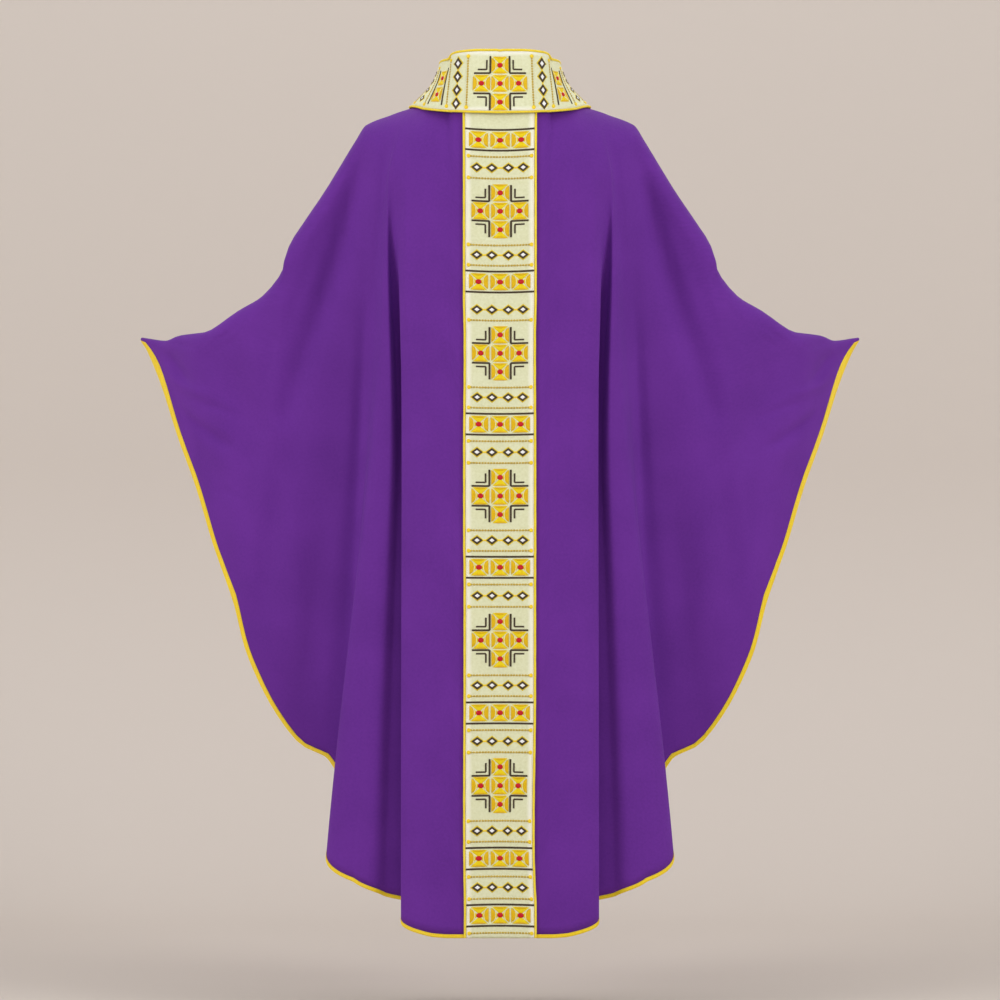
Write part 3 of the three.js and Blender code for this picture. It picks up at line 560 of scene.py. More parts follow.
back_binding = binding_piece("back_hem_binding_cloth", back)
front_binding = binding_piece("front_hem_binding_cloth", front)
hem_run = distance(panel_point(back, LINES, fall_length(back, LINES)), 0)
print("binding length round the back hem, in m:", round(float(hem_run[-1]) / 1000, 2))

# %% [markdown]
# The ornamental ribbon is woven separately and laid on the back, over the hem binding. It is a stiffer,
# smoother cloth than the panel, so it follows the panel's form at a small distance and has its own
# thickness. Its own flat measures, across and down, are kept as helpers, because the ornament is drawn flat
# and then laid on the ribbon.

# %% The back ribbon
RIBBON_LIFT, RIBBON_THICK, RIBBON_HALF = 2.4, 1.4, 53.5
# Which line of fall is at each distance from the middle, in mm
ACROSS, LINE_THERE = [0, 27.6, RIBBON_HALF, 69], [0, 1.5, 3, 4]
# A sewn ribbon is never dead straight: at each height, its left and right edges stand out by this many mm
WANDER = table(["below", "left", "right"], [
    [0, 1.4, 1.0], [330, 1.3, 0.8], [385, 0.3, -0.3], [430, 0.2, -0.4], [560, 1.0, 0], [720, 0.9, 0],
    [760, 0.2, -0.2], [960, 0.2, -0.5], [1050, 0.6, -1.6], [1140, 0.8, -2.9], [1190, 0.7, -3.0],
    [1240, 0.2, -1.8], [1290, -0.6, 0.4], [1340, -0.6, 0.4]])


def on_band(across, height, off):
    """A place on the back ribbon: mm across from its middle, the height z, and mm off its middle surface."""
    across, height = np.broadcast_arrays(np.asarray(across, float), np.asarray(height, float))
    edge = np.where(across < 0, WANDER["left"](-height), WANDER["right"](-height))
    across = across * (1 + edge / RIBBON_HALF)
    line = np.interp(np.abs(across), ACROSS, LINE_THERE) * np.sign(across)
    down = back["topZ"](np.abs(line)) - height
    normal = panel_normal(back, line, down)
    return panel_point(back, line, down) + normal * (RIBBON_LIFT + np.asarray(off))[..., None]


heights = np.concatenate([np.linspace(-18, -170, 60), np.linspace(-170, -1334.6, 300)[1:]])
across, heights = np.meshgrid(np.linspace(-53.2, 53.2, 33), heights, indexing="ij")
ribbon_points = on_band(across, heights, 0)
ribbon_uv = np.stack([across, distance(ribbon_points, 1)], -1)
band = thicken(grid_piece("back_band_ribbon", ribbon_points, ribbon_uv, cream), RIBBON_THICK)
hem_width = np.linalg.norm(ribbon_points[-1, -1] - ribbon_points[0, -1])
print("ribbon width at the hem, in mm:", round(float(hem_width), 1))

# %% [markdown]
# Gold cords run down both sides of the ribbon and hide its edges. A cord of four strands is laid by
# twisting a lobed section along a line. The same helper makes the collar's pipings later, where the line is
# a closed ring.

# %% Cords
STRANDS, STRAND_DEEP = 4, 0.14


def cord_piece(name, line, sideways, width, height, pitch, ring=False, around=20):
    """A twisted cord along a line: its lobed section turns once in every "pitch" mm."""
    count = len(line)
    ahead = np.roll(line, -1, 0) - np.roll(line, 1, 0) if ring else np.gradient(line, axis=0)
    sideways = unit(sideways - unit(ahead) * (sideways * unit(ahead)).sum(-1, keepdims=True))
    upward = unit(np.cross(sideways, ahead))
    closing = np.linalg.norm(line[0] - line[-1]) if ring else 0
    run = distance(line, 0)
    whole = run[-1] + closing
    turns = round(whole / pitch) if ring else whole / pitch
    angle = np.linspace(0, 2 * math.pi, around, endpoint=False)
    twisted = angle[None, :] + 2 * math.pi * turns * run[:, None] / whole
    lobed = 1 - STRAND_DEEP * (1 - np.abs(np.cos(STRANDS / 2 * twisted)))
    points = (line[:, None] + sideways[:, None] * (np.cos(angle) * lobed * width)[..., None]
              + upward[:, None] * (np.sin(angle) * lobed * height)[..., None])
    uv = np.stack([run[:, None] + 0 * angle, angle[None, :] * width + 0 * run[:, None]], -1)
    return grid_piece(name, points, uv, gold_cord, flip=True, ring=ring, tube=True)


CORD_OUT, CORD_UP, CORD_LIFT = 1.9, 1.3, 0.35
edge_heights = np.linspace(-18.5, -1334.5, 620)
for side, label in ((-1, "left"), (1, "right")):
    base = on_band(side * RIBBON_HALF, edge_heights, CORD_LIFT)
    outward = unit(base - on_band(side * (RIBBON_HALF - 2), edge_heights, CORD_LIFT))
    line = base + outward * CORD_OUT
    cord_piece(f"back_band_cord_{label}", line, outward, CORD_OUT, CORD_UP, 9.0)

# %% [markdown]
# The collar is one high band of the ribbon, folded over at the top. The inner layer stands up from the
# neckline, and the outer layer falls outside it and flares over the shoulders. Both follow rings measured
# round the neck, where angle 0 is the middle of the back.

# %% Collar rings
COLLAR_TOP = table(["angle", "x", "y", "z"], [
    [0, 0, -92, 70], [20, 34, -91, 70], [38, 67, -82, 68], [47, 76.5, -69.2, 66], [55, 83, -53.2, 59.8],
    [75, 93.4, -20.8, 60.4], [90, 97, 2, 58], [120, 95, 50, 42], [150, 60, 88, 17], [180, 0, 102, 4]])
COLLAR_HEM = table(["angle", "x", "y", "z"], [
    [0, 0, -123.5, -33.6], [20, 43, -120.5, -32.4], [38, 85, -103, -28.4], [60, 124, -62, -20.5],
    [90, 146, 0, -12], [105, 140, 33, -15], [120, 124, 62, -27], [150, 76, 105, -54], [180, 0, 122, -74]])
COLLAR_BOW = table(["angle", "bow"], [[0, -2], [40, -5], [70, -9], [110, -10], [150, -4], [180, 0]])
TOP_CORD, HEM_CORD, COLLAR_SPREAD, CORNER_DEEP = 2.0, 1.8, 1.3, 3.0
# The y of the shoulder seam, and how far the edge cord hangs off the panel, and more over its ribbon
SHOULDER_Y, OFF_PANEL, OVER_RIBBON = 2, 1.9, 2.9


def ring_point(ring, degrees):
    angle = np.abs(degrees)
    return np.stack([np.sign(degrees) * ring["x"](angle), ring["y"](angle), ring["z"](angle)], -1)


def collar_top(degrees):
    """The line of the collar's fold, with a small dent at the middle of the back."""
    line = ring_point(COLLAR_TOP, degrees)
    line[..., 2] -= 0.9 * np.exp(-((degrees / 2) ** 2))
    return line


print("the collar's fold at the middle of the back, in mm:", collar_top(np.array([0.0]))[0].round(1))


# %% Where the collar's layers end below
def neck_point(degrees):
    """The neckline at an angle round the neck, on whichever panel is there."""
    lines = np.linspace(0, NECK_SIDE, 120)
    rows = [panel_point(back, lines, 0 * lines), panel_point(front, lines[::-1], 0 * lines)]
    seam = np.concatenate(rows)
    angles = np.degrees(np.arctan2(seam[:, 0], SHOULDER_Y - seam[:, 1]))
    place_at = np.stack([np.interp(np.abs(degrees), angles, seam[:, k]) for k in range(3)], -1)
    place_at[..., 0] *= np.sign(degrees)
    return place_at


def outward_of(degrees, ring=COLLAR_TOP):
    ahead = ring_point(ring, degrees + 1.5) - ring_point(ring, degrees - 1.5)
    return unit(np.stack([ahead[..., 1], -ahead[..., 0], 0 * ahead[..., 0]], -1))


def yoke_at(x, y):
    """The panel under a place in plan near the neck: its point there and its normal."""
    low, high = np.zeros_like(x), np.full_like(x, 16.0)
    behind = y < SHOULDER_Y
    for _ in range(30):
        mid = (low + high) / 2
        short = np.where(behind, back["topX"](mid), front["topX"](mid)) < np.abs(x)
        low, high = np.where(short, mid, low), np.where(short, high, mid)
    found = []
    for panel in (back, front):
        out = np.clip(panel["facing"] * (y - panel["topY"](low)) / panel["reach"](low), 0, 0.98)
        down = panel["drop"](low) * (1 - (1 - out ** ROUNDNESS) ** (1 / ROUNDNESS))
        at = np.where(x < 0, -low, low)
        found.append((panel_point(panel, at, down), panel_normal(panel, at, down)))
    pick = behind[..., None]
    return np.where(pick, found[0][0], found[1][0]), np.where(pick, found[0][1], found[1][1])


def collar_hem(degrees):
    """The free edge hangs at its own height, but never closer to the panel than its clearance."""
    centre = ring_point(COLLAR_HEM, degrees)
    ground, normal = yoke_at(centre[..., 0], centre[..., 1])
    on_ribbon = (centre[..., 1] < SHOULDER_Y) * (1 - smooth((np.abs(centre[..., 0]) - 70) / 24))
    clear = HEM_CORD + OFF_PANEL + on_ribbon * OVER_RIBBON
    gap = ((centre - ground) * normal).sum(-1)
    return centre + normal * np.maximum(0, clear - gap)[..., None]


print("the collar's edge at the middle of the back, in mm:", collar_hem(np.array([0.0]))[0].round(1))


# %% Collar layers
def collar_rings(layer, degrees):
    """The upper and lower ring of a collar layer."""
    top, outward = collar_top(degrees), outward_of(degrees)
    lift = np.array([0, 0, -TOP_CORD - 0.3])
    if layer == "fall":
        upper = top + outward * COLLAR_SPREAD + lift
        hem = collar_hem(degrees)
        return upper, hem + unit(upper - hem) * (HEM_CORD + 0.3), outward
    return top - outward * COLLAR_SPREAD + lift, neck_point(degrees) + np.array([0, 0, 2.1]), outward


def on_collar(layer, degrees, share, off):
    """A place on a collar layer: the angle round the neck, the share down it, and mm off its surface."""
    degrees, share, off = np.broadcast_arrays(*(np.asarray(v, float) for v in (degrees, share, off)))
    turned = (degrees + 180) % 360 - 180

    def bare(deg, part):
        upper, lower, outward = collar_rings(layer, deg)
        bow = COLLAR_BOW["bow"](np.abs(deg)) * (1 if layer == "fall" else 0.3)
        bent = CORNER_DEEP * np.exp(-(((np.abs(deg) - 52) / 4) ** 2)) * (1 - smooth(part / 0.62))
        out = bow * np.sin(math.pi * part) - bent
        return upper + (lower - upper) * part[..., None] + outward * out[..., None]

    across = bare(turned + 0.6, share) - bare(turned - 0.6, share)
    along = bare(turned, share + 0.01) - bare(turned, share - 0.01)
    return bare(turned, share) + unit(np.cross(along, across)) * off[..., None]


ring_angles = np.linspace(-180, 180, 360, endpoint=False)
shares = np.linspace(0, 1, 22)


def collar_piece(name, layer):
    points = on_collar(layer, ring_angles[:, None], shares[None, :], 0)
    down = distance(points, 1)
    uv = np.stack([down - down[:, -1:] / 2, distance(points[:, 10:11], 0) + 0 * shares], -1)
    return thicken(grid_piece(name, points, uv, cream, ring=True), RIBBON_THICK)


collar_fall = collar_piece("collar_fall_ribbon", "fall")
collar_stand = collar_piece("collar_stand_ribbon", "stand")
collar_high = np.linalg.norm(on_collar("fall", 0, 0, 0) - on_collar("fall", 0, 1, 0))
print("collar height at the middle of the back, in mm:", round(float(collar_high), 1))

# %% Collar pipings
fine_angles = np.linspace(-180, 180, 900, endpoint=False)
PLUMP = 1.04  # the strands stand a little outside the CAD piping's round section


def piping(name, line, radius, pitch):
    plump = radius * PLUMP
    return cord_piece(name, line, outward_of(fine_angles), plump, plump, pitch, ring=True, around=18)


hem_line = collar_hem(fine_angles)
top_piping = piping("collar_top_cord", collar_top(fine_angles), TOP_CORD, 10.0)
hem_piping = piping("collar_hem_cord", hem_line, HEM_CORD, 9.0)
print("collar edge length, in mm:", round(float(distance(hem_line, 0)[-1])))

# %% [markdown]
# The ornament is a traditional geometric repeat: bands of three squares between dark lines, rows of
# lozenges between chain-stitched lines, and a cross of five squares with corner brackets. On the real
# ribbon it is satin stitch, so each motif here is a few low padded forms, drawn flat once in millimetres.
# Painting it as a colour map would lose its relief, so it is strewn on a flat chart of the ribbon and then
# laid on the cloth.

# %% Padded forms and ridges of thread
def pad(outline, rise, threads=0.0):
    """A padded patch of satin stitch in a flat outline that runs anticlockwise, with its threads' angle."""
    outline = np.array(outline, float)
    count, middle = len(outline), np.mean(outline, 0)
    steps = [(1, -0.2), (0.95, 0.45 * rise), (0.72, 0.9 * rise), (0.3, rise)]
    rings = [np.column_stack([middle + (outline - middle) * share, np.full(count, up)])
             for share, up in steps]
    points = np.concatenate(rings + [[[*middle, rise]]])
    turn = np.roll(np.arange(count), -1)
    faces = [(k * count + i, k * count + turn[i], (k + 1) * count + turn[i], (k + 1) * count + i)
             for k in range(len(steps) - 1) for i in range(count)]
    last = (len(steps) - 1) * count
    faces += [(last + i, last + turn[i], len(points) - 1) for i in range(count)]
    faces.append(tuple(range(count))[::-1])
    c, n = math.cos(threads), math.sin(threads)
    return points, faces, points[:, :2] @ np.array([[c, n], [-n, c]])


def ridge(path, width, rise, closed=False):
    """A low ridge of close stitches along a flat path."""
    path = np.array(path, float)
    ahead = unit(np.roll(path, -1, 0) - path)
    behind = np.roll(ahead, 1, 0)
    if not closed:
        ahead[-1], behind[0] = ahead[-2], ahead[0]
    half_turn = unit(ahead + behind)
    left = np.column_stack([-half_turn[:, 1], half_turn[:, 0]])
    left /= np.maximum((half_turn * ahead).sum(1, keepdims=True), 0.5)
    profile = [(-1, -0.2), (-0.8, 0.6 * rise), (0, rise), (0.8, 0.6 * rise), (1, -0.2)]
    points = np.stack([np.column_stack([path + left * (side * width / 2), np.full(len(path), up)])
                       for side, up in profile], 1)
    run = np.concatenate([[0], np.cumsum(np.linalg.norm(np.diff(path, axis=0), axis=1))])
    threads = np.stack([np.column_stack([run, np.full(len(path), side * width / 2)])
                        for side, _ in profile], 1)
    number = np.arange(len(path) * 5).reshape(-1, 5)
    after = np.roll(number, -1, 0)
    if not closed:
        after, number = after[:-1], number[:-1]
    faces = []
    for a, b in zip(number, after):
        faces += [(a[k], b[k], b[k + 1], a[k + 1]) for k in range(4)] + [(a[0], a[4], b[4], b[0])]
    if not closed:
        faces += [tuple(number[0][::-1]), tuple(after[-1])]
    return points.reshape(-1, 3), faces, threads.reshape(-1, 2)


print("points in a ridge of three steps:", len(ridge([(0, 0), (1, 0), (2, 0), (3, 0)], 1, 1)[0]))


# %% Outlines, and forms joined into a motif
def motif(name, forms):
    """Joins forms into one closed low mesh in metres, which is only used as a motif."""
    points, faces, uvs = [], [], []
    for form, form_faces, threads in forms:
        faces += [tuple(int(k) + len(points) for k in face) for face in form_faces]
        points += (form / 1000).tolist()
        uvs += (threads / 1000).tolist()
    mesh = bpy.data.meshes.new(name)
    mesh.from_pydata(points, [], faces)
    layer = mesh.uv_layers.new(name="cloth")
    corners = np.zeros(len(mesh.loops), np.int32)
    mesh.loops.foreach_get("vertex_index", corners)
    layer.data.foreach_set("uv", np.array(uvs, np.float32)[corners].ravel())
    mesh.polygons.foreach_set("use_smooth", [True] * len(mesh.polygons))
    return bpy.data.objects.new(name, mesh)


HALF = 14.3  # half the side of one square


def turned(outline, quarters):
    for _ in range(quarters % 4):
        outline = [(-y, x) for x, y in outline]
    return outline


def oval(width, height, sides):
    angles = np.linspace(0, 2 * math.pi, sides, endpoint=False)
    return [(width * math.cos(a), height * math.sin(a)) for a in angles]


def diamond(width, height):
    return [(width, 0), (0, height), (-width, 0), (0, -height)]


def level_line(half, count):
    return [(x, 0) for x in np.linspace(-half, half, count)]


def eye_arc(deep, wide):
    """The round side of a half eye, which stands on the left side of its square."""
    return [(-HALF + 0.3 + deep * math.cos(a), wide * math.sin(a)) for a in np.linspace(-1.35, 1.35, 9)]


def half_eye(deep, wide):
    return [(-HALF, wide), (-HALF, 0.4 * wide), (-HALF, -0.4 * wide), (-HALF, -wide)] + eye_arc(deep, wide)


print("corners of a half eye:", len(half_eye(6.6, 11.4)))

# %% The motifs, drawn once
wedge = [(HALF - 1.2, HALF), (0, HALF), (-HALF + 1.2, HALF), (-HALF / 2, HALF / 2 + 1.2), (-2.0, 3.2),
         (2.0, 3.2), (HALF / 2, HALF / 2 + 1.2)]
corner_out = [(-43.2, 16.3), (-34, 16.3), (-25, 16.3), (-17.5, 16.3), (-16.3, 17.5), (-16.3, 25), (-16.3, 34),
              (-16.3, 43.2)]
corner_in = [(-37, 22.2), (-30, 22.2), (-23.2, 22.2), (-22.2, 23.2), (-22.2, 30), (-22.2, 37)]
FORMS = {
    "pale": ("pale wedges", [pad(turned(wedge, k), 0.55, k * math.pi / 2) for k in range(4)]),
    "gold": ("gold half eyes", [pad(turned(half_eye(6.6, 11.4), k), 1.1, math.pi / 2) for k in (0, 2)]
             + [pad(turned(half_eye(3.6, 9.5), k), 0.9) for k in (1, 3)]),
    "arc": ("arcs round the half eyes", [ridge(turned(eye_arc(7.4, 12.6), k), 1.3, 1.2) for k in (0, 2)]),
    "red": ("red knot", [pad(oval(4.7, 4.3, 12), 1.7)]),
    "core": ("lozenge core", [pad(diamond(4.4, 3.4), 0.9, math.pi / 2)]),
    "outline": ("lozenge outline", [ridge(diamond(6.5, 4.9), 3.5, 1.0, closed=True)]),
    "halo": ("lozenge halo", [ridge(diamond(9.2, 7.3), 2.9, 0.45, closed=True)]),
    "dark": ("dark line", [ridge(level_line(53, 25), 3.2, 1.1)]),
    "corner": ("corner brackets", [ridge(corner_out, 3.2, 1.1), ridge(corner_in, 2.8, 1.0)]),
    "joining": ("joining thread", [ridge(level_line(46, 21), 3.4, 0.6)]),
    "ball": ("end ball", [pad(oval(3.3, 3.3, 10), 1.7)])}
MOTIFS = {key: motif(name, forms) for key, (name, forms) in FORMS.items()}
print("faces a motif:", {k: len(m.data.polygons) for k, m in MOTIFS.items()})

# %% [markdown]
# A flat chart says which motif stands where. The repeat is 227 mm long and is written once; the ribbon's
# own heights then say where each repeat starts. Round the collar the same ribbon lies on its side, so its
# length runs round the neck. It is all drawn up one by one, in millimetres across and along the ribbon.

# %% Rows of the chart
# A row of the chart: the motif's word, its place across and along in mm, its turn, and its two sizes
REPEAT = 227.0
SQUARE_BANDS = [-76, -302, -528, -754, -983, -1211, -1300]  # heights down the back


def squares_band(at):
    rows = [("squares", x, at, 0, 1.04, 0.93) for x in (-33.0, 0.2, 32.4)]
    return rows + [("dark", 0, at + 16.6, 0, 1, 1), ("dark", 0, at - 16.6, 0, 1, 1)]


def lozenge_row(at):
    return [("joining", 0, at, 0, 1, 1)] + [("lozenge", x, at, 0, 1, 1) for x in (-35.5, -12.5, 12.9, 35.7)]


def cross(at):
    places = ((0.3, 0), (-30.2, 0), (30.2, 0), (0.3, 29.4), (0.3, -29.4))
    sizes = ((1.02, 0.96), (0.96, 1.02)) * 2
    return ([("squares", x, at + y, 0, 0.97, 0.96) for x, y in places]
            + [("corner", 0.3, at, k * math.pi / 2, *size) for k, size in enumerate(sizes)])


def chain_row(at):
    return [("chain", 0, at, 0, 45, 1), ("ball", -48.6, at, 0, 1, 1), ("ball", 49, at, 0, 1, 1)]


print("entries in one cross:", len(cross(0)))

# %% The chart of the back ribbon
band_chart = []
for k, start in enumerate(SQUARE_BANDS[:5]):
    step = (SQUARE_BANDS[k + 1] - start) / REPEAT
    band_chart += squares_band(start) + lozenge_row(start + 44.4 * step) + chain_row(start + 61.6 * step)
    band_chart += cross(start + 113.8 * step) + chain_row(start + 168.5 * step)
    band_chart += lozenge_row(start + 184.2 * step) + chain_row(start + 200.9 * step)
    if k != 1:  # one repeat has no chain line here
        band_chart += chain_row(start + 26.9 * step)
band_chart += squares_band(-1211) + chain_row(-1239.5) + lozenge_row(-1256.5) + chain_row(-1274)
band_chart += squares_band(-1300)[:-1] + [("dark", 0, -1316.6, 0, 1, 1)] + chain_row(-1327.5)
print("entries on the back ribbon:", len(band_chart))


# %% The chart of the collar
def shorter(rows, share, up=0.0):
    """Rows drawn for the wide ribbon, made shorter for the collar, and a little higher on it."""
    return [(kind, x * share + up, at, turn, a if kind == "ball" else a * share, b)
            for kind, x, at, turn, a, b in rows]


def sideways_squares(rows):
    """On the collar the squares have a quarter turn, so that their half eyes stand level again."""
    return [(kind, x, at, turn + math.pi / 2 if kind == "squares" else turn, a, b)
            for kind, x, at, turn, a, b in rows]


def collar_column(at):
    """Two squares one above the other between two short dark lines."""
    return ([("squares", x, at, math.pi / 2, 0.93, 1.02) for x in (-17.4, 16.2)]
            + [("dark", -2.3, at + y, 0, 0.66, 1) for y in (-16.6, 16.6)])


def collar_lozenges(at):
    return ([("joining", 0.2, at, 0, 0.86, 1)]
            + [("lozenge", x, at, 0, 1.16, 1.12) for x in (-33.9, -10.8, 12, 34.6)])


def thread_rows(at):
    """A row of lozenges between two chain lines, as wide as the collar's side."""
    return shorter(chain_row(at - 17) + lozenge_row(at) + chain_row(at + 17), 0.8)


half_collar = (shorter(chain_row(52), 0.87, 2.7) + collar_lozenges(69.5) + shorter(chain_row(87), 0.84, 2.0)
               + collar_column(113.8) + shorter(chain_row(140.6) + lozenge_row(158) + chain_row(175), 0.8)
               + sideways_squares(cross(227.5)) + thread_rows(296))
other_half = [(kind, x, -at, turn, a, b) for kind, x, at, turn, a, b in half_collar]
collar_chart = sideways_squares(cross(0)) + half_collar + other_half
print("entries on the collar:", len(collar_chart))

# %% [markdown]
# Geometry Nodes strew the motifs: points of the chart carry their turn and size, one tree puts a motif on
# each and makes it real, and a second tree sets links along a line for the chain stitch, the binding's
# stitches and the seams. Copying objects one by one would be slower and could not be changed in one place.

# %% Helpers for trees
def new_tree(name, inputs):
    tree = bpy.data.node_groups.new(name, "GeometryNodeTree")
    tree.interface.new_socket("Geometry", in_out="INPUT", socket_type="NodeSocketGeometry")
    for label, (kind, value) in inputs.items():
        socket = tree.interface.new_socket(label, in_out="INPUT", socket_type="NodeSocket" + kind)
        if value is not None:
            socket.default_value = value
    tree.interface.new_socket("Geometry", in_out="OUTPUT", socket_type="NodeSocketGeometry")
    return tree, tree.nodes.new("NodeGroupInput").outputs, tree.nodes.new("NodeGroupOutput").inputs


def named(tree, name, kind):
    made = place(tree, "GeometryNodeInputNamedAttribute", {"Name": name}, data_type=kind)
    return made.outputs["Attribute"]


print("tree kinds so far:", {group.bl_idname for group in bpy.data.node_groups})

# %% A tree that strews a motif on points
strew, s_in, s_out = new_tree("strew motifs", {"Motif": ("Object", None), "Finish": ("Material", None)})
shape = place(strew, "GeometryNodeObjectInfo", {"Object": s_in["Motif"]}, transform_space="ORIGINAL")
turning = place(strew, "ShaderNodeCombineXYZ", {2: named(strew, "turn", "FLOAT")})
on_points = place(strew, "GeometryNodeInstanceOnPoints", {
    "Points": s_in["Geometry"], "Instance": shape.outputs["Geometry"], "Rotation": turning.outputs[0],
    "Scale": named(strew, "size", "FLOAT_VECTOR")})
real = place(strew, "GeometryNodeRealizeInstances", {0: on_points.outputs[0]})
finished = place(strew, "GeometryNodeSetMaterial", {0: real.outputs[0], "Material": s_in["Finish"]})
strew.links.new(finished.outputs[0], s_out[0])
print("nodes in the tree that strews:", len(strew.nodes))

# %% A tree that sets stitches along a line
stitch, t_in, t_out = new_tree("stitches along a line", {
    "Spacing": ("Float", 0.003), "Length": ("Float", 0.0024), "Width": ("Float", 0.0008),
    "Unevenness": ("Float", 0.15), "Seed": ("Int", 4), "Finish": ("Material", None)})
curve = place(stitch, "GeometryNodeMeshToCurve", {0: t_in["Geometry"]})
spaced = place(stitch, "GeometryNodeResampleCurve", {0: curve.outputs[0], "Length": t_in["Spacing"]},
               mode="LENGTH")
ahead = place(stitch, "GeometryNodeInputTangent").outputs[0]
lined_up = place(stitch, "FunctionNodeAlignRotationToVector", {"Vector": ahead}, axis="X")
outwards = named(stitch, "out", "FLOAT_VECTOR")
faced = place(stitch, "FunctionNodeAlignRotationToVector",
              {"Rotation": lined_up.outputs[0], "Vector": outwards}, axis="Z", pivot_axis="X")
uneven = place(stitch, "FunctionNodeRandomValue", {
    2: sums(stitch, "SUBTRACT", 1.0, t_in["Unevenness"]), 3: sums(stitch, "ADD", 1.0, t_in["Unevenness"]),
    "Seed": t_in["Seed"]}, data_type="FLOAT")
long_size = sums(stitch, "MULTIPLY", uneven.outputs[1], t_in["Length"])
low_size = sums(stitch, "MULTIPLY", t_in["Width"], 0.6)
size = place(stitch, "ShaderNodeCombineXYZ", {0: long_size, 1: t_in["Width"], 2: low_size})
bead = place(stitch, "GeometryNodeMeshUVSphere", {"Segments": 6, "Rings": 4, "Radius": 0.5})
links = place(stitch, "GeometryNodeInstanceOnPoints", {
    "Points": spaced.outputs[0], "Instance": bead.outputs[0], "Rotation": faced.outputs[0],
    "Scale": size.outputs[0]})
real = place(stitch, "GeometryNodeRealizeInstances", {0: links.outputs[0]})
rounded_off = place(stitch, "GeometryNodeSetShadeSmooth", {0: real.outputs[0]})
finished = place(stitch, "GeometryNodeSetMaterial", {0: rounded_off.outputs[0], "Material": t_in["Finish"]})
stitch.links.new(finished.outputs[0], t_out[0])
print("nodes in the tree that stitches:", len(stitch.nodes))


# %% From a tree to a plain mesh
def grown(name, base, tree, values):
    """Runs a tree on a base mesh and keeps the result as a plain mesh."""
    source = bpy.data.objects.new(name + " base", base)
    bpy.context.scene.collection.objects.link(source)
    modifier = source.modifiers.new("tree", "NODES")
    modifier.node_group = tree
    for item in tree.interface.items_tree:
        if item.in_out == "INPUT" and item.name in values:
            modifier[item.identifier] = values[item.name]
    ready = source.evaluated_get(bpy.context.evaluated_depsgraph_get())
    mesh = bpy.data.meshes.new_from_object(ready)
    source.modifiers.remove(modifier)
    bpy.data.objects.remove(source)
    piece = bpy.data.objects.new(name, mesh)
    bpy.context.scene.collection.objects.link(piece)
    return piece


def line_base(name, lines, outs):
    """A mesh of open lines in mm, each with the direction that faces out of the cloth."""
    mesh, starts = bpy.data.meshes.new(name), np.cumsum([0] + [len(line) for line in lines])
    edges = [(s + k, s + k + 1) for s, line in zip(starts, lines) for k in range(len(line) - 1)]
    mesh.from_pydata((np.concatenate(lines) / 1000).tolist(), edges, [])
    facing = mesh.attributes.new("out", "FLOAT_VECTOR", "POINT")
    facing.data.foreach_set("vector", np.concatenate(outs).astype(np.float32).ravel())
    return mesh


print("trees:", strew.name, "and", stitch.name)

# %% [markdown]
# Embroidery thread is smoother and brighter than the ribbon under it. The squares have two golds, a paler
# one in their wedges and a deeper one in their half eyes, which is painted shade: the same gold thread,
# darkened where its stitches lie across the light. They have cream arcs and a red knot. The lozenges are
# white, brown and olive, and yellow thread joins them. A short function gives every thread the same twist,
# so only the colours and the gloss are written.

# %% Thread finishes
def thread_finish(name, dark, light, rough=0.45, thread=0.0006, bump=0.5, coarse=90.0, **rest):
    """A smooth thread, for stitches far wider than its own twist."""
    return cloth_material(name + " thread", dark, light, rough, thread=thread, bump=bump, coarse=coarse,
                          **rest)


pale_satin = thread_finish("pale satin", (230, 198, 0), (246, 222, 14), 0.5, specular=0.2, contrast=0.2)
# Painted shade: this deeper gold is the pale satin's gold thread, darkened for stitches that lie across the
# light.
shaded_gold_satin = thread_finish("gold satin", (218, 170, 0), (236, 194, 0), specular=0.25, contrast=0.2)
red_thread = thread_finish("red", (178, 0, 20), (212, 4, 32))
brown_thread = thread_finish("brown", (48, 37, 22), (76, 58, 36), 0.55, thread=0.0007)
white_thread = thread_finish("white", (240, 238, 234), (255, 255, 252), 0.5, bump=0.4)
yellow_thread = thread_finish("yellow", (240, 196, 10), (255, 226, 50), 0.42)
cream_thread = thread_finish("cream", (236, 226, 150), (250, 244, 190), bump=0.4)
olive_thread = thread_finish("olive", (204, 176, 12), (234, 206, 36), bump=0.4)
chain_thread = thread_finish("chain", (176, 146, 52), (216, 186, 84), 0.5, bump=0.3, coordinates="Object")
LAYERS = {  # motif, the chart's word, its thread, and how far it lies under the others
    "pale": ("squares", pale_satin, 0.1), "gold": ("squares", shaded_gold_satin, 0.0),
    "red": ("squares", red_thread, 0.0), "arc": ("squares", cream_thread, 0.1),
    "core": ("lozenge", white_thread, 0.0), "outline": ("lozenge", brown_thread, 0.0),
    "halo": ("lozenge", olive_thread, 0.1), "dark": ("dark", brown_thread, 0.0),
    "corner": ("corner", brown_thread, 0.0), "joining": ("joining", yellow_thread, 0.15),
    "ball": ("ball", yellow_thread, 0.0)}
print("layers of thread:", {layer: row[1].name for layer, row in LAYERS.items()})


# %% Strewing a chart and laying it on the cloth
CHAIN_POINTS = 12


def laid(piece, onto):
    """Moves a flat piece's points onto the cloth: onto(across, along, off), all in mm."""
    flat = np.zeros(len(piece.data.vertices) * 3)
    piece.data.vertices.foreach_get("co", flat)
    across, along, off = flat.reshape(-1, 3).T * 1000
    piece.data.vertices.foreach_set("co", (onto(across, along, off) / 1000).ravel())
    piece.data.update()
    return piece


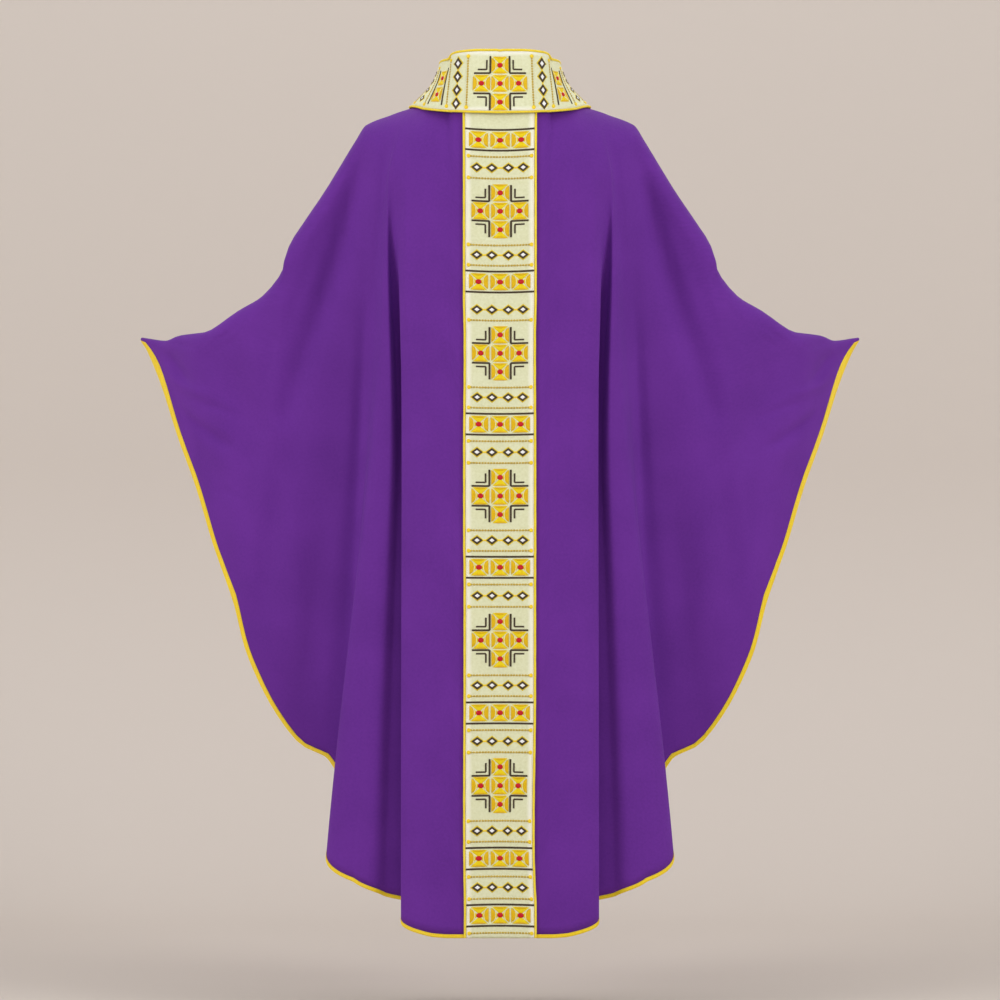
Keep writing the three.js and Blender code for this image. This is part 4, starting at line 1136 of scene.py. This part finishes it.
def ornament(prefix, chart, onto):
    """All the thread of one ribbon: a piece for each layer of motifs, and one for the chain lines."""
    made = {}
    for layer, (word, thread, under) in LAYERS.items():
        rows = [row for row in chart if row[0] == word]
        base = bpy.data.meshes.new(layer)
        base.from_pydata([(x / 1000, y / 1000, -under / 1000) for _, x, y, *_ in rows], [], [])
        base.attributes.new("turn", "FLOAT", "POINT").data.foreach_set("value", [row[3] for row in rows])
        sizes = np.array([(row[4], row[5], 1) for row in rows], np.float32).ravel()
        base.attributes.new("size", "FLOAT_VECTOR", "POINT").data.foreach_set("vector", sizes)
        flat = grown(f"{prefix}_{layer}_stitches", base, strew, {"Motif": MOTIFS[layer], "Finish": thread})
        made[layer] = laid(flat, onto)
    run = np.linspace(-1, 1, CHAIN_POINTS)
    level, up = np.ones(CHAIN_POINTS), np.tile([0, 0, 1.0], (CHAIN_POINTS, 1))
    lines = [np.column_stack([x + run * half, level * at, level * 0.2])
             for kind, x, at, _, half, _ in chart if kind == "chain"]
    base = line_base("chains", lines, [up] * len(lines))
    links = grown(f"{prefix}_chain_stitches", base, stitch, {
        "Spacing": 0.0043, "Length": 0.0046, "Width": 0.0035, "Unevenness": 0.15, "Finish": chain_thread})
    made["chain"] = laid(links, onto)
    return made


print("chain lines on the back ribbon:", sum(row[0] == "chain" for row in band_chart))


# %% The ornament on the back ribbon
def onto_band(across, height, off):
    """The rows of the worn ribbon bend: their middles hang at the top, and rise a little near the hem."""
    bend = np.interp(-height, [76, 500, 900, 1300], [2.3, 0.9, -0.2, -1.2]) * (1 - (across / 50) ** 2)
    return on_band(across, height - bend, RIBBON_THICK / 2 + off)


band_ornament = ornament("band", band_chart, onto_band)
print("faces on the back ribbon:", sum(len(p.data.polygons) for p in band_ornament.values()))

# %% The ornament on the collar
# At 21 levels of the collar, how far round the ribbon each angle is. The sides are stretched to one length.
LEVELS, HALF_ROUND, COLLAR_WIDE, COLLAR_MIDDLE = 20, 318, 97, 0.543
round_steps, levels = np.linspace(0, 180, 361), np.linspace(0, 1, LEVELS + 1)
level_runs = distance(on_collar("fall", round_steps[:, None], levels[None, :], 0), 0)
level_runs *= 1 + (HALF_ROUND / level_runs[-1] - 1) * smooth((round_steps[:, None] - 60) / 115)
level_runs *= 1.03 - 0.075 * levels * smooth((170 - round_steps[:, None]) / 60)
print("half the collar's length on the ribbon, in mm:", round(float(level_runs[-1, 10])))


def onto_collar(across, along, off):
    level = np.clip((COLLAR_MIDDLE - across / COLLAR_WIDE) * LEVELS, 0, LEVELS)
    low = np.minimum(level.astype(int), LEVELS - 1)
    angles = np.stack([np.interp(np.abs(along), run, round_steps) for run in level_runs.T])
    each = np.arange(len(along))
    degrees = angles[low, each] + (level - low) * (angles[low + 1, each] - angles[low, each])
    return on_collar("fall", np.sign(along) * degrees, level / LEVELS, RIBBON_THICK / 2 + off)


collar_ornament = ornament("collar", collar_chart, onto_collar)
print("faces on the collar:", sum(len(p.data.polygons) for p in collar_ornament.values()))

# %% [markdown]
# The same tree makes the sewing: small even stitches in the groove of both hem bindings, a line of them
# beside each cord where the ribbon is sewn down, and the short ones that close the shoulder and arm seams.
# They are real little forms rather than a pattern in a colour, because they catch the light where the cloth
# turns.

# %% Sewing stitches
def sewn(name, seams, spacing, length, width, thread):
    """Stitches along seams, each given as its line and the direction out of the cloth, in mm."""
    lines, outs = zip(*seams)
    return grown(name, line_base(name, lines, outs), stitch, {
        "Spacing": spacing / 1000, "Length": length / 1000, "Width": width / 1000, "Unevenness": 0.12,
        "Finish": thread})


def groove(panel):
    """The line of the binding's groove on the outer side, and which way is out there."""
    fine = np.linspace(-LAST + 0.1, LAST - 0.1, 900)
    down = fall_length(panel, fine) - binding_drop(panel, fine) * 0.78
    out = panel_normal(panel, fine, down)
    return panel_point(panel, fine, down) + out * 1.25, out


def ribbon_side(side):
    """A line just inside the ribbon's edge, which is at line of fall 2.85."""
    inner = np.linspace(-36, -1326, 640)
    line = on_band(side * 51.2, inner, RIBBON_THICK / 2 + 0.1)
    return line, panel_normal(back, side * 2.85, back["topZ"](2.85) - inner)


def arm_seam(side):
    at = side * np.linspace(NECK_SIDE + 3, LAST - 0.2, 500)
    line = panel_point(back, at, 0 * at) + np.array([0, 0, CLOTH_THICK / 2])
    ahead = unit(np.gradient(line, axis=0))
    up = np.array([0, 0, 1.0]) - ahead * ahead[:, 2:3]
    return line, unit(up)


violet_thread = thread_finish("violet", (92, 38, 130), (124, 62, 166), 0.6, bump=0.3, coarse=60.0,
                              coordinates="Object")
binding_thread = thread_finish("binding", (214, 160, 10), (244, 200, 40), 0.5, bump=0.3, coarse=60.0,
                               coordinates="Object")
SEWING = {  # the seams, then the spacing, length and width of a stitch in mm, and its thread
    "back_binding_stitches": ([groove(back)], 3.6, 2.6, 0.8, binding_thread),
    "front_binding_stitches": ([groove(front)], 3.6, 2.6, 0.8, binding_thread),
    "ribbon_side_stitches": ([ribbon_side(-1), ribbon_side(1)], 3.8, 2.4, 0.8, cream_thread),
    "arm_seam_stitches": ([arm_seam(-1), arm_seam(1)], 4.0, 2.6, 0.9, violet_thread)}
sewing = {name: sewn(name, *row) for name, row in SEWING.items()}
print("faces of the sewing:", sum(len(p.data.polygons) for p in sewing.values()))

# %% [markdown]
# Now the pieces are joined to the frame: each rides on the one body and stands for its CAD node, which is
# hidden. Both panels, the ribbon and the collar layers are sheets of cloth, and their areas are printed.

# %% Riding on the body
STANDS_FOR = {
    "back_panel_cloth": ("back_panel", "violet_cloth"),
    "front_panel_cloth": ("front_panel", "violet_cloth"),
    "back_hem_binding_cloth": ("back_hem_binding", "gold_trim"),
    "front_hem_binding_cloth": ("front_hem_binding", "gold_trim"),
    "back_band_ribbon": ("back_band", "band_ribbon"),
    "back_band_cord_left": ("back_band_edge_left", "gold_trim"),
    "back_band_cord_right": ("back_band_edge_right", "gold_trim"),
    "collar_fall_ribbon": ("collar_fall", "band_ribbon"),
    "collar_stand_ribbon": ("collar_stand", "band_ribbon"),
    "collar_top_cord": ("collar_top_piping", "gold_trim"),
    "collar_hem_cord": ("collar_hem_piping", "gold_trim")}
for name, (node, slot) in STANDS_FOR.items():
    piece = bpy.data.objects[name]
    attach(piece, "root")
    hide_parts(node)
for piece in [*band_ornament.values(), *collar_ornament.values()]:
    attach(piece, "root")
for name, piece in sewing.items():
    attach(piece, "root")
print("pieces that stand for a CAD node:", len(STANDS_FOR))


# %% The sheets of cloth
def cut_area(piece):
    """The flat area in square metres of a single surface, before its thickness."""
    mesh = piece.data
    area = np.zeros(len(mesh.polygons))
    mesh.polygons.foreach_get("area", area)
    return float(area.sum())


sheets = (back_panel, front_panel, band, collar_fall, collar_stand)
print("cloth areas in square metres:", {piece.name: round(cut_area(piece), 3) for piece in sheets})

# %% [markdown]
# The studio is a pale floor that curves up into a pale wall, lit from above and from both sides by large
# soft lamps, because the garment is shown as even as the photograph shows it, with its folds darkened only
# softly.

# %% Floor and wall
FLOOR_Z, FLOOR_FRONT, BEND_FROM, BEND, WALL_TOP, HALF_WIDE = -1470, -7500, 1200, 900, 4200, 6000


def matt(name, colour):
    material = bpy.data.materials.new(name)
    material.use_nodes = True
    shader = material.node_tree.nodes["Principled BSDF"]
    shader.inputs["Base Color"].default_value = linear(*colour)
    shader.inputs["Roughness"].default_value = 0.9
    return material


bend = [(BEND_FROM + BEND * math.sin(a), FLOOR_Z + BEND - BEND * math.cos(a))
        for a in np.linspace(0.1, math.pi / 2, 16)]
sweep = [(FLOOR_FRONT, FLOOR_Z), (BEND_FROM, FLOOR_Z), *bend, (BEND_FROM + BEND, WALL_TOP)]
floor_points = np.array([[(x, y, z) for y, z in sweep] for x in (-HALF_WIDE, HALF_WIDE)], float)
pale_floor = matt("pale floor", (206, 196, 186))
floor = grid_piece("studio_floor", floor_points, floor_points[..., :2], pale_floor, flip=True)


# %% Lights
def soft_lamp(name, place_at, target, size, watts):
    light = bpy.data.lights.new(name, "AREA")
    light.shape, light.size, light.energy = "DISK", size, watts
    lamp = bpy.data.objects.new(name, light)
    lamp.location = place_at
    lamp.rotation_euler = (Vector(target) - Vector(place_at)).to_track_quat("-Z", "Y").to_euler()
    bpy.context.scene.collection.objects.link(lamp)


for side, label in ((-1, "left"), (1, "right")):
    soft_lamp(f"lamp_{label}", (4.5 * side, -2.9, 0.9), (0, 0, -0.5), 2.4, 132)
soft_lamp("lamp_top", (0, -1.2, 3.2), (0, 0, -0.6), 3.0, 30)
soft_lamp("lamp_front", (0, 1.8, 2.2), (0, 0, -0.4), 2.0, 30)
world = bpy.data.worlds.new("studio")
bpy.context.scene.world = world
world.use_nodes = True
sky = world.node_tree.nodes["Background"].inputs
sky["Color"].default_value = linear(242, 243, 250)
sky["Strength"].default_value = 0.46
bpy.context.scene.view_settings.view_transform = "Standard"
print("lamps:", [lamp.name for lamp in bpy.data.lights])
